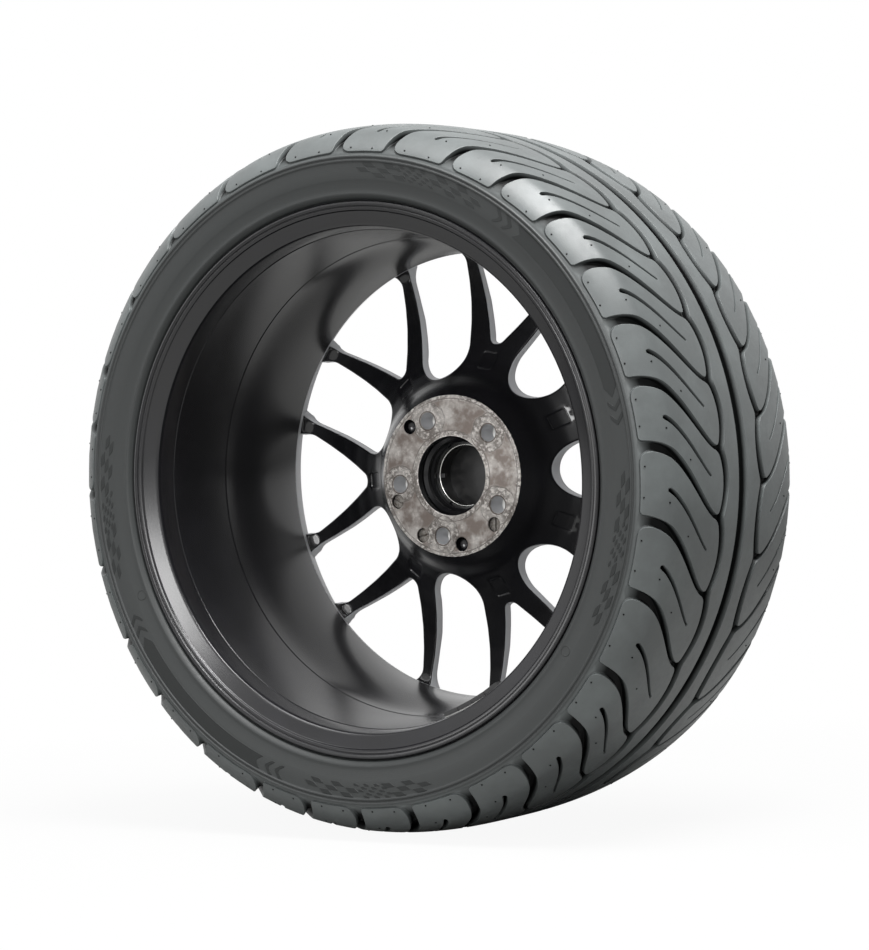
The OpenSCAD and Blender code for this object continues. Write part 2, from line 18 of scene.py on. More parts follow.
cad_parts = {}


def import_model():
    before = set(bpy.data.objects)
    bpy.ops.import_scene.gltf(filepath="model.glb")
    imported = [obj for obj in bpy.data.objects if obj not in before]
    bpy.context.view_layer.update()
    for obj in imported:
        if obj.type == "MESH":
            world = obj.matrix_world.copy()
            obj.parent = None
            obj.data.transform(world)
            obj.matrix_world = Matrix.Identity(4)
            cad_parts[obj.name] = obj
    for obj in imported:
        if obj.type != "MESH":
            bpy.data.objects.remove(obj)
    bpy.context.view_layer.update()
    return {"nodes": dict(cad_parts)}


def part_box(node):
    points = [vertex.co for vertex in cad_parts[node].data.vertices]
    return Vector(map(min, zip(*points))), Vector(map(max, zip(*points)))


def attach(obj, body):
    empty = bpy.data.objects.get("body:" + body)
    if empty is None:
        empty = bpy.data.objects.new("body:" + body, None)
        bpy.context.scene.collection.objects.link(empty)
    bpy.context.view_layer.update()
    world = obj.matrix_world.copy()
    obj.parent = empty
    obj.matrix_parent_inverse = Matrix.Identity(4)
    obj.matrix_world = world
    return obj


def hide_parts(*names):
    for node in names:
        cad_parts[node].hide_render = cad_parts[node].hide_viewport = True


log = logging.getLogger("tyre_on_wheel")

MM = 0.001
WELD = 2e-5
PHOTO_SIZE = (869, 950)
MAIN_BODY = "wheel_and_tyre"
FACE_LEAN = "face_lean"
SURFACE_MARK = "surface_mark"
WHITE = (1.0, 1.0, 1.0, 1.0)

Pair = tuple[float, float]
Line = tuple[Pair, ...]
Mesh = bpy.types.Mesh
Material = bpy.types.Material
Socket = bpy.types.NodeSocket


class Side(Enum):
    """The two sides of the tyre, as the sign of their place along the axle."""

    INBOARD = -1
    OUTBOARD = 1


class Pitch(Enum):
    """The three lengths of tread pitch, in the order of their cells."""

    SMALL = "S"
    MEDIUM = "M"
    LARGE = "L"


# Lines and points


def smooth_step(t: np.ndarray | float) -> np.ndarray:
    """Gives the smooth step from 0 to 1, flat outside that range."""
    t = np.clip(t, 0.0, 1.0)
    return t * t * (3 - 2 * t)


def unit(v: np.ndarray) -> np.ndarray:
    """Scales each row of an array of vectors to length one."""
    return v / np.maximum(np.linalg.norm(v, axis=-1, keepdims=True), 1e-12)


def ways(turns: np.ndarray) -> np.ndarray:
    """Gives the flat unit vectors at angles in radians."""
    return np.stack([np.cos(turns), np.sin(turns)], 1)


def on_axle(flat: np.ndarray, along: np.ndarray | float) -> np.ndarray:
    """Puts flat vectors, [x, z], and their parts along the axle together."""
    return np.stack([flat[:, 0], np.broadcast_to(along, len(flat)), flat[:, 1]], 1)


def arc(centre: Sequence[float], radius: float, start: float, end: float, steps: int) -> np.ndarray:
    """Gives points on an arc in a flat map.

    Args:
        centre: the arc's centre.
        radius: its radius.
        start: the first angle in degrees.
        end: the last angle in degrees.
        steps: how many chords the arc has.

    Returns:
        An array of steps + 1 points.
    """
    return np.array(centre) + radius * ways(np.radians(np.linspace(start, end, steps + 1)))


def lengths(line: np.ndarray) -> np.ndarray:
    """Gives how far along a line each of its points lies."""
    return np.concatenate([[0], np.cumsum(np.linalg.norm(np.diff(line, axis=0), axis=1))])


def looked_up(at: np.ndarray, known: np.ndarray, table: np.ndarray) -> np.ndarray:
    """Interpolates both columns of a table."""
    return np.stack([np.interp(at, known, table[:, k]) for k in (0, 1)], 1)


def resampled(line: np.ndarray, spacing: float, closed: bool = False) -> np.ndarray:
    """Spaces the points of a line evenly.

    Args:
        line: the points of the line.
        spacing: the wanted distance between points.
        closed: whether the line returns to its first point.

    Returns:
        The evenly spaced points; a closed line doesn't repeat its first point.
    """
    if closed:
        line = np.vstack([line, line[:1]])
    length = lengths(line)
    at = np.linspace(0, length[-1], max(2, int(round(length[-1] / spacing))) + 1)
    return looked_up(at[:-1] if closed else at, length, line)


def joined(curves: Sequence[np.ndarray], cuts: Sequence[float], steps: int) -> np.ndarray:
    """Joins curves end to start into one closed line with rounded corners.

    Args:
        curves: the curves in order, each ending where the next starts.
        cuts: how much of both curves each corner takes, the first at the end of the first curve.
        steps: how many chords each rounded corner has.

    Returns:
        The points of the closed line.
    """
    parts: list[np.ndarray] = []
    for i, curve in enumerate(curves):
        length = lengths(curve)
        start, end = cuts[i - 1], length[-1] - cuts[i]
        at = np.concatenate([[start], length[(length > start) & (length < end)], [end]])
        parts.append(looked_up(at, length, curve))
    line: list[np.ndarray] = []
    t = np.linspace(0, 1, steps + 1)[1:-1, None]
    for i, part in enumerate(parts):
        after = parts[(i + 1) % len(parts)][0]
        line += [part, (1 - t) ** 2 * part[-1] + 2 * t * (1 - t) * curves[i][-1] + t**2 * after]
    return np.vstack(line)


def outward(line: np.ndarray, closed: bool) -> np.ndarray:
    """Gives the unit normals on the right of a line, which is outside one drawn anticlockwise.

    Args:
        line: the points of the line.
        closed: whether the line returns to its first point.

    Returns:
        One unit vector for each point.
    """
    along = np.roll(line, -1, 0) - np.roll(line, 1, 0) if closed else np.gradient(line, axis=0)
    return unit(np.stack([along[:, 1], -along[:, 0]], 1))


def inside(outline: np.ndarray, points: np.ndarray) -> np.ndarray:
    """Says which points lie inside a closed outline.

    Args:
        outline: the points of the outline.
        points: the points to test.

    Returns:
        One boolean for each point.
    """
    found = np.zeros(len(points), bool)
    for a, b in zip(outline, np.roll(outline, -1, 0)):
        crosses = (a[1] > points[:, 1]) != (b[1] > points[:, 1])
        rise = b[1] - a[1] if abs(b[1] - a[1]) > 1e-12 else 1e-12
        found ^= crosses & (points[:, 0] < (b[0] - a[0]) * (points[:, 1] - a[1]) / rise + a[0])
    return found


def distance(points: np.ndarray, line: np.ndarray) -> np.ndarray:
    """Gives each point's distance to the nearest of a line's points."""
    return np.sqrt(((points[:, None, :] - line[None, :, :]) ** 2).sum(2)).min(1)


@dataclass
class FlatMap:
    """A flat map of points that is filled with triangles.

    Each point has a depth under the top surface, and a lean: the flat direction in which the
    surface faces there, or nothing where it faces up.
    """

    points: list[Pair] = field(default_factory=list)
    depths: list[float] = field(default_factory=list)
    leans: list[Pair] = field(default_factory=list)
    edges: list[tuple[int, int]] = field(default_factory=list)
    known: dict[tuple[int, int], int] = field(default_factory=dict)

    def point(self, at: Sequence[float], depth: float = 0.0, lean: Sequence[float] = (0.0, 0.0)) -> int:
        """Adds a point, unless one is there already, and gives its number."""
        key = (round(at[0] * 1e3), round(at[1] * 1e3))
        if key not in self.known:
            self.known[key] = len(self.points)
            self.points.append((float(at[0]), float(at[1])))
            self.depths.append(float(depth))
            self.leans.append((float(lean[0]), float(lean[1])))
        return self.known[key]

    def line(
        self,
        line: np.ndarray,
        depth: np.ndarray | float = 0.0,
        lean: np.ndarray | float = 0.0,
        closed: bool = True,
    ) -> list[int]:
        """Adds a line whose edges the triangles keep, and gives its points' numbers.

        Args:
            line: the points of the line.
            depth: one depth, or one for each point.
            lean: one flat direction for each point, or zero where they face up.
            closed: whether the line returns to its first point.

        Returns:
            The number of each point.
        """
        depths, leans = np.broadcast_to(depth, len(line)), np.broadcast_to(lean, line.shape)
        found = [self.point(*values) for values in zip(line, depths, leans)]
        pairs = zip(found, found[1:] + found[:1] if closed else found[1:])
        self.edges += [(a, b) for a, b in pairs if a != b]
        return found

    def arrays(self) -> tuple[np.ndarray, np.ndarray, np.ndarray]:
        """Gives the points, depths and leans as arrays."""
        return np.array(self.points), np.array(self.depths), np.array(self.leans)

    def triangles(self, keep: Callable[[np.ndarray], np.ndarray]) -> np.ndarray:
        """Fills the map.

        Args:
            keep: says for the middles of the triangles which of them stay.

        Returns:
            The kept triangles, anticlockwise, as numbers of the map's points.
        """
        corners = [Vector(p) for p in self.points]
        verts, _, faces, origins, _, _ = delaunay_2d_cdt(corners, self.edges, [], 0, 1e-6, True)
        crossings = [tuple(round(c, 2) for c in v) for v, origin in zip(verts, origins) if not origin]
        if crossings:
            raise ValueError(f"lines of the map cross at {crossings[:5]}")
        found = np.array([min(origin) for origin in origins])[np.array(faces)]
        p = np.array(self.points)
        found = found[keep(p[found].mean(1))]
        a, b, c = p[found[:, 0]], p[found[:, 1]], p[found[:, 2]]
        area = (b[:, 0] - a[:, 0]) * (c[:, 1] - a[:, 1]) - (b[:, 1] - a[:, 1]) * (c[:, 0] - a[:, 0])
        found[area < 0] = found[area < 0][:, ::-1]
        return found[np.abs(area) > 1e-7]


# Meshes and node trees


def new_mesh(name: str, points: np.ndarray, faces: Iterable[Sequence[int]]) -> Mesh:
    """Makes a smooth mesh from points in metres and faces."""
    mesh = bpy.data.meshes.new(name)
    mesh.from_pydata(points.tolist(), [], [tuple(int(i) for i in f) for f in faces])
    mesh.polygons.foreach_set("use_smooth", [True] * len(mesh.polygons))
    mesh.update()
    return mesh


def marked_mesh(name: str, points: np.ndarray, faces: Iterable, lean: np.ndarray, mark: np.ndarray) -> Mesh:
    """Makes a mesh that stores which way each point faces, and what the finish has to know of it.

    Args:
        name: the mesh's name.
        points: its points in metres.
        faces: its faces.
        lean: each point's way, as [out from the axle, along it, round it].
        mark: each point's mark.

    Returns:
        The mesh.
    """
    mesh = new_mesh(name, points, faces)
    leans = mesh.attributes.new(FACE_LEAN, "FLOAT_VECTOR", "POINT")
    leans.data.foreach_set("vector", lean.astype(np.float32).ravel())
    marks = mesh.attributes.new(SURFACE_MARK, "FLOAT", "POINT")
    marks.data.foreach_set("value", mark.astype(np.float32))
    return mesh


def new_object(name: str, data: bpy.types.ID) -> bpy.types.Object:
    """Links an object for a mesh, lamp or camera into the scene."""
    obj = bpy.data.objects.new(name, data)
    bpy.context.scene.collection.objects.link(obj)
    return obj


def read_points(mesh: Mesh) -> tuple[np.ndarray, np.ndarray, np.ndarray]:
    """Gives a mesh's places, leans and marks."""
    count = len(mesh.vertices)
    at, lean, mark = np.zeros(count * 3), np.zeros(count * 3), np.zeros(count)
    mesh.vertices.foreach_get("co", at)
    mesh.attributes[FACE_LEAN].data.foreach_get("vector", lean)
    mesh.attributes[SURFACE_MARK].data.foreach_get("value", mark)
    return at.reshape(-1, 3), lean.reshape(-1, 3), mark


def round_frame(at: np.ndarray) -> tuple[np.ndarray, np.ndarray]:
    """Gives the ways out from the axle and round it at each point."""
    out = unit(at * [1, 0, 1])
    return out, np.stack([-out[:, 2], np.zeros(len(at)), out[:, 0]], 1)


def merged(meshes: Sequence[Mesh]) -> Mesh:
    """Joins meshes that carry leans and marks into one, with nothing welded."""
    read = [read_points(mesh) for mesh in meshes]
    faces: list[tuple[int, ...]] = []
    first = 0
    for mesh in meshes:
        faces += [tuple(first + v for v in p.vertices) for p in mesh.polygons]
        first += len(mesh.vertices)
    at, lean = (np.vstack([r[k] for r in read]) for k in (0, 1))
    return marked_mesh("whole", at, faces, lean, np.concatenate([r[2] for r in read]))


def finished(name: str, mesh: Mesh, material: Material) -> bpy.types.Object:
    """Makes the object of a whole piece, whose stored leans become its shading normals."""
    at, lean, _ = read_points(mesh)
    out, around = round_frame(at)
    normal = out * lean[:, :1] + around * lean[:, 2:]
    normal[:, 1] += lean[:, 1]
    mesh.attributes.remove(mesh.attributes[FACE_LEAN])
    mesh.normals_split_custom_set_from_vertices(unit(normal).tolist())
    mesh.materials.append(material)
    return new_object(name, mesh)


def plug(node: bpy.types.Node, links: dict[str | int, object]) -> None:
    """Gives a node's inputs, by name or number, a socket to link or a plain value."""
    for name, value in links.items():
        if isinstance(value, Socket):
            node.id_data.links.new(value, node.inputs[name])
        else:
            node.inputs[name].default_value = value


def add_node(tree: bpy.types.NodeTree, kind: str, links: dict | None = None, **settings) -> bpy.types.Node:
    """Adds a node with its settings, its plain inputs and its links.

    Args:
        tree: the node tree.
        kind: the node's type name.
        links: for each input, by name or number, a socket to link or a plain value.
        settings: the node's own properties.

    Returns:
        The new node.
    """
    node = tree.nodes.new(kind)
    for name, value in settings.items():
        setattr(node, name, value)
    plug(node, links or {})
    return node


def ring_tree() -> bpy.types.NodeTree:
    """Makes the node tree that lays picked cells round the axle, at the turns of its points."""
    tree = bpy.data.node_groups.new("laid_round_the_axle", "GeometryNodeTree")
    kinds = {"Geometry": "Geometry", "Cells": "Collection", "Weld": "Float", "Material": "Material"}
    for name, kind in kinds.items():
        tree.interface.new_socket(name, in_out="INPUT", socket_type=f"NodeSocket{kind}")
    tree.interface.new_socket("Geometry", in_out="OUTPUT", socket_type="NodeSocketGeometry")
    source = add_node(tree, "NodeGroupInput").outputs
    apart = {"Collection": source["Cells"], "Separate Children": True, "Reset Children": True}
    cells = add_node(tree, "GeometryNodeCollectionInfo", apart).outputs["Instances"]
    turn, kind = (
        add_node(tree, "GeometryNodeInputNamedAttribute", {"Name": name}, data_type=form).outputs["Attribute"]
        for name, form in (("turn", "FLOAT"), ("kind", "INT"))
    )
    spin = add_node(tree, "ShaderNodeCombineXYZ", {"Y": turn}).outputs[0]
    laid = {"Points": source["Geometry"], "Instance": cells, "Pick Instance": True}
    laid |= {"Instance Index": kind, "Rotation": spin}
    placed = add_node(tree, "GeometryNodeInstanceOnPoints", laid).outputs[0]
    real = add_node(tree, "GeometryNodeRealizeInstances", {"Geometry": placed}).outputs[0]
    weld = {"Geometry": real, "Distance": source["Weld"]}
    whole = add_node(tree, "GeometryNodeMergeByDistance", weld).outputs[0]
    dress = {"Geometry": whole, "Material": source["Material"]}
    dressed = add_node(tree, "GeometryNodeSetMaterial", dress).outputs[0]
    add_node(tree, "NodeGroupOutput", {"Geometry": dressed})
    return tree


def laid_round(
    name: str, cells: Sequence[Mesh], spots: Sequence[tuple[float, int]], material: Material
) -> Mesh:
    """Lays copies of cells round the axle, welds those that meet, and keeps a plain mesh.

    Args:
        name: the name of the new mesh.
        cells: the meshes that are laid.
        spots: each copy's angle in degrees and the number of its cell.
        material: what the copies are made of.

    Returns:
        The plain mesh.
    """
    store = bpy.data.collections.new(name)
    for number, cell in enumerate(cells):
        store.objects.link(bpy.data.objects.new(f"{number}_{name}", cell))
    stations = bpy.data.meshes.new("stations")
    stations.from_pydata([(0.0, 0.0, 0.0)] * len(spots), [], [])
    turns, kinds = [-math.radians(turn) for turn, _ in spots], [kind for _, kind in spots]
    stations.attributes.new("turn", "FLOAT", "POINT").data.foreach_set("value", turns)
    stations.attributes.new("kind", "INT", "POINT").data.foreach_set("value", kinds)
    carrier = new_object(f"carrier_{name}", stations)
    modifier = carrier.modifiers.new("nodes", "NODES")
    modifier.node_group = ring_tree()
    inputs = {"Cells": store, "Weld": WELD, "Material": material}
    for item in modifier.node_group.interface.items_tree:
        if item.in_out == "INPUT" and item.name in inputs:
            modifier[item.identifier] = inputs[item.name]
    graph = bpy.context.evaluated_depsgraph_get()
    graph.update()
    result = bpy.data.meshes.new_from_object(carrier.evaluated_get(graph), depsgraph=graph)
    result.name = name
    carrier.modifiers.remove(modifier)
    bpy.data.objects.remove(carrier)
    return result


# Shading


def linear(hex_colour: str) -> tuple[float, float, float, float]:
    """Turns an sRGB hex colour into the linear colour that a shader takes.

    Args:
        hex_colour: six hex digits, with or without a leading hash.

    Returns:
        Red, green, blue and an alpha of one, all linear.
    """
    digits = hex_colour.lstrip("#")
    channels = [int(digits[i : i + 2], 16) / 255 for i in (0, 2, 4)]
    flat = [c / 12.92 if c <= 0.04045 else ((c + 0.055) / 1.055) ** 2.4 for c in channels]
    return flat[0], flat[1], flat[2], 1.0


@dataclass
class Weave:
    """Builds the nodes of a material or world: each method adds some and gives their result."""

    owner: Material | bpy.types.World

    def __post_init__(self) -> None:
        """Takes the default nodes out."""
        self.owner.use_nodes = True
        self.tree = self.owner.node_tree
        self.tree.nodes.clear()

    def add(self, kind: str, links: dict | None = None, **settings) -> Socket:
        """Adds a node and gives its first output."""
        return add_node(self.tree, kind, links, **settings).outputs[0]

    def maths(self, operation: str, *values: object) -> Socket:
        """Adds one sum of numbers or sockets."""
        return self.add("ShaderNodeMath", dict(enumerate(values)), operation=operation)

    def product(self, *values: object) -> Socket:
        """Multiplies numbers or sockets."""
        result, *others = values
        for value in others:
            result = self.maths("MULTIPLY", result, value)
        return result

    def line(
        self, value: object, start: float, end: float, low: object = 0.0, high: object = 1.0,
        form: str = "LINEAR",
    ) -> Socket:
        """Turns the range from start to end evenly into low to high, and holds it outside."""
        links = {"Value": value, "From Min": start, "From Max": end, "To Min": low, "To Max": high}
        if start > end:
            links |= {"From Min": end, "From Max": start, "To Min": high, "To Max": low}
        return self.add("ShaderNodeMapRange", links, interpolation_type=form)

    def ramp(self, value: object, start: float, end: float, low: object = 0.0, high: object = 1.0) -> Socket:
        """Turns the range from start to end smoothly into low to high, and holds it outside."""
        return self.line(value, start, end, low, high, "SMOOTHSTEP")

    def noise(self, place: object, size_mm: float, detail: float, rough: float = 0.5) -> Socket:
        """Adds a noise of a real size."""
        links = {"Vector": place, "Scale": 1 / (size_mm * MM), "Detail": detail, "Roughness": rough}
        return self.add("ShaderNodeTexNoise", links)

    def blend(self, share: object, low: object, high: object) -> Socket:
        """Mixes two colours, each a socket or hex digits."""
        a, b = (linear(c) if isinstance(c, str) else c for c in (low, high))
        return add_node(self.tree, "ShaderNodeMix", {0: share, 6: a, 7: b}, data_type="RGBA").outputs[2]

    def mixed(self, share: object, low: object, high: object) -> Socket:
        """Mixes two numbers."""
        return self.add("ShaderNodeMix", {0: share, 2: low, 3: high}, data_type="FLOAT")

    def place(self) -> Socket:
        """Gives the point in the object."""
        return add_node(self.tree, "ShaderNodeTexCoord").outputs["Object"]

    def length(self, place: Socket, axes: tuple[float, float, float]) -> Socket:
        """Gives a vector's length along some axes only."""
        kept = self.add("ShaderNodeVectorMath", {0: place, 1: axes}, operation="MULTIPLY")
        return add_node(self.tree, "ShaderNodeVectorMath", {0: kept}, operation="LENGTH").outputs["Value"]

    def mark(self) -> Socket:
        """Gives the surface mark that the mesh stores."""
        return add_node(self.tree, "ShaderNodeAttribute", attribute_name=SURFACE_MARK).outputs["Fac"]

    def bump(self, height: Socket, height_mm: float) -> Socket:
        """Gives the normal of a surface with fine heights."""
        return self.add("ShaderNodeBump", {"Height": height, "Strength": 1.0, "Distance": height_mm * MM})

    def light_path(self) -> tuple[Socket, Socket]:
        """Gives the share of rays that see straight or through, and that of glossy rays."""
        path = add_node(self.tree, "ShaderNodeLightPath").outputs
        seen = self.maths("ADD", path["Is Camera Ray"], path["Is Transmission Ray"])
        return seen, path["Is Glossy Ray"]

    def shader(self, links: dict[str, object]) -> Material:
        """Adds the surface's shader and gives the finished material."""
        surface = self.add("ShaderNodeBsdfPrincipled", links)
        add_node(self.tree, "ShaderNodeOutputMaterial", {"Surface": surface})
        return self.owner


# The studio


@dataclass(frozen=True)
class Softbox:
    """A square lamp that looks at a point; metres and watts."""

    name: str
    place: tuple[float, float, float]
    target: tuple[float, float, float]
    size: float
    power: float

    def hang(self) -> None:
        """Hangs the lamp in the scene."""
        lamp = bpy.data.lights.new(self.name, "AREA")
        lamp.shape = "SQUARE"
        lamp.size = self.size
        lamp.energy = self.power
        obj = new_object(self.name, lamp)
        obj.location = self.place
        aim = Vector(self.target) - Vector(self.place)
        obj.rotation_euler = aim.to_track_quat("-Z", "Y").to_euler()


@dataclass(frozen=True)
class Studio:
    """The camera as fitted to the photograph, the lamps, the white surround and the floor."""

    azimuth: float = 32.45
    elevation: float = 0.66
    roll: float = -1.8
    away_mm: float = 2860.41
    aim_y_mm: float = 7.0
    focal_px: float = 3096.34
    centre_px: Pair = (434.74, 476.65)
    sensor_mm: float = 36.0
    clip: Pair = (0.1, 60.0)
    surround: float = 0.2
    floor_half: float = 6.0
    floor_colour: str = "9c9c9b"
    floor_near: Pair = (0.3, 0.93)
    floor_far: Pair = (1.1, 1.0)
    softboxes: tuple[Softbox, ...] = (
        Softbox("key_softbox", (0.9, -0.5, 2.3), (0.1, 0.0, 0.1), 1.3, 185),
        Softbox("top_softbox", (-0.6, -0.9, 2.2), (0.0, 0.0, 0.0), 1.2, 30),
        Softbox("side_softbox", (-1.7, -1.6, 0.3), (0.0, 0.0, 0.0), 0.9, 9),
        Softbox("front_softbox", (0.5, -2.8, 0.9), (0.0, 0.0, 0.0), 1.1, 60),
    )

    def camera(self) -> None:
        """Places the camera."""
        width, height = PHOTO_SIZE
        az, el, roll = (math.radians(x) for x in (self.azimuth, self.elevation, self.roll))
        back = Vector((math.sin(az) * math.cos(el), -math.cos(az) * math.cos(el), math.sin(el)))
        level = Vector((0, 0, 1)).cross(back).normalized()
        rise = back.cross(level)
        right = level * math.cos(roll) + rise * math.sin(roll)
        up = rise * math.cos(roll) - level * math.sin(roll)
        lens = bpy.data.cameras.new("photo_camera")
        lens.sensor_width = self.sensor_mm
        lens.lens = self.focal_px / max(PHOTO_SIZE) * self.sensor_mm
        lens.shift_x = (width / 2 - self.centre_px[0]) / max(PHOTO_SIZE)
        lens.shift_y = (self.centre_px[1] - height / 2) / max(PHOTO_SIZE)
        lens.clip_start, lens.clip_end = self.clip
        camera = new_object("photo_camera", lens)
        place = Vector((0, self.aim_y_mm * MM, 0)) + back * self.away_mm * MM
        turned = Matrix((right, up, back)).transposed().to_4x4()
        camera.matrix_world = Matrix.Translation(place) @ turned
        bpy.context.scene.camera = camera

    def world(self) -> None:
        """Gives a grey surround to the light, which the camera and the gloss see as white."""
        bpy.context.scene.world = bpy.data.worlds.new("white_surround")
        w = Weave(bpy.context.scene.world)
        share = w.maths("MAXIMUM", *w.light_path())
        lit, seen = (
            w.add("ShaderNodeBackground", {"Color": WHITE, "Strength": s}) for s in (self.surround, 1.0)
        )
        mix = w.add("ShaderNodeMixShader", {0: share, 1: lit, 2: seen})
        add_node(w.tree, "ShaderNodeOutputWorld", {"Surface": mix})

    def floor(self, low_z: float) -> bpy.types.Object:
        """Lays the plain pale floor under the tyre.

        Args:
            low_z: the height of the tyre's lowest point.

        Returns:
            The floor, which the camera sees as white but for a share of its shadow.
        """
        half = self.floor_half
        square = ((-half, -half), (half, -half), (half, half), (-half, half))
        corners = np.array([(x, y, low_z) for x, y in square])
        floor = new_object("floor", new_mesh("floor", corners, [(0, 1, 2, 3)]))
        material = bpy.data.materials.new("pale_floor")
        w = Weave(material)
        (near, shown), (far, white) = self.floor_near, self.floor_far
        reach = w.length(w.place(), (1.0, 1.0, 0.0))
        share = w.product(w.light_path()[0], w.line(reach, near, far, shown, white))
        paint = w.add("ShaderNodeBsdfDiffuse", {"Color": linear(self.floor_colour)})
        glow = w.add("ShaderNodeEmission", {"Color": WHITE, "Strength": 1.0})
        mix = w.add("ShaderNodeMixShader", {0: share, 1: paint, 2: glow})
        add_node(w.tree, "ShaderNodeOutputMaterial", {"Surface": mix})
        floor.data.materials.append(material)
        return floor

    def build(self, low_z: float) -> None:
        """Sets up the whole studio."""
        bpy.context.scene.view_settings.view_transform = "Standard"
        self.camera()
        self.world()
        self.floor(low_z)
        for softbox in self.softboxes:
            softbox.hang()


# The finishes


@dataclass(frozen=True)
class Finish:
    """A finish whose colour and gloss wander over the piece, with a fine grain."""

    name: str
    colour: str
    worn_colour: str
    roughness: float
    worn_roughness: float
    mottle_mm: float
    grain_mm: float
    grain_height_mm: float
    metallic: float = 0.0
    worn_range: Pair = (0.45, 0.7)

    def material(self) -> Material:
        """Makes the material."""
        w = Weave(bpy.data.materials.new(self.name))
        place = w.place()
        worn = w.line(w.noise(place, self.mottle_mm, 5.0, 0.6), *self.worn_range)
        return w.shader({
            "Base Color": w.blend(worn, self.colour, self.worn_colour),
            "Roughness": w.line(worn, 0.0, 1.0, self.roughness, self.worn_roughness),
            "Metallic": self.metallic,
            "Normal": w.bump(w.noise(place, self.grain_mm, 2.0), self.grain_height_mm),
        })


@dataclass(frozen=True)
class MouldedRubber:
    """Carbon-black rubber as it leaves the mould: a greyish bloom on the tread, a darker sidewall.

    The eye gets a soft sheen that breaks on fine tooling rings. The grooves get a painted shade: their
    colour darkens and their specular level falls with depth. The surface mark is the depth under the
    tread, and a shallow depth darkens the moulded marks with the same painted shade colour.
    """

    name: str = "moulded_tyre_rubber"
    tread_colour: str = "434646"
    wall_colour: str = "232525"
    # The colour of the painted shade at the bottom of the grooves.
    groove_shade_colour: str = "0b0c0c"
    bloom_colour: str = "505454"
    tread_roughness: float = 0.42
    wall_roughness: float = 0.52
    # The specular level on the tread, and the lower one in the deepest grooves, where it falls as painted
    # shade.
    shine: Pair = (0.3, 0.06)
    shoulder_mm: Pair = (286.0, 291.0)
    groove_shade_mm: Pair = (1.4, 4.4)
    bloom_mm: float = 55.0
    haze_mm: float = 4.5
    ring_mm: float = 1.6
    ring_share: float = 0.12
    grain_mm: float = 0.9
    grain_height_mm: float = 0.05

    def material(self) -> Material:
        """Makes the material, which tells tread from sidewall by the distance from the axle."""
        w = Weave(bpy.data.materials.new(self.name))
        place = w.place()
        radius = w.length(place, (1.0, 0.0, 1.0))
        tread = w.line(radius, *(r * MM for r in self.shoulder_mm))
        bloom = w.line(w.noise(place, self.bloom_mm, 6.0, 0.62), 0.4, 0.75)
        top = w.blend(bloom, self.tread_colour, self.bloom_colour)
        # Painted shade in the grooves: with depth under the tread the colour darkens towards the groove shade
        # colour and the specular level falls.
        deep = w.line(w.mark(), *self.groove_shade_mm)
        haze = w.maths("MULTIPLY_ADD", w.noise(place, self.haze_mm, 3.0), 0.16, -0.08)
        rings = w.maths("SINE", w.product(radius, 2 * math.pi / (self.ring_mm * MM)))
        tooling = w.product(rings, w.maths("SUBTRACT", 1.0, tread))
        grain = w.noise(place, self.grain_mm, 2.0)
        return w.shader({
            "Base Color": w.blend(deep, w.blend(tread, self.wall_colour, top), self.groove_shade_colour),
            "Roughness": w.maths(
                "ADD", w.line(tread, 0.0, 1.0, self.wall_roughness, self.tread_roughness), haze
            ),
            "Specular IOR Level": w.line(deep, 0.0, 1.0, *self.shine),
            "Normal": w.bump(w.maths("MULTIPLY_ADD", tooling, self.ring_share, grain), self.grain_height_mm),
        })


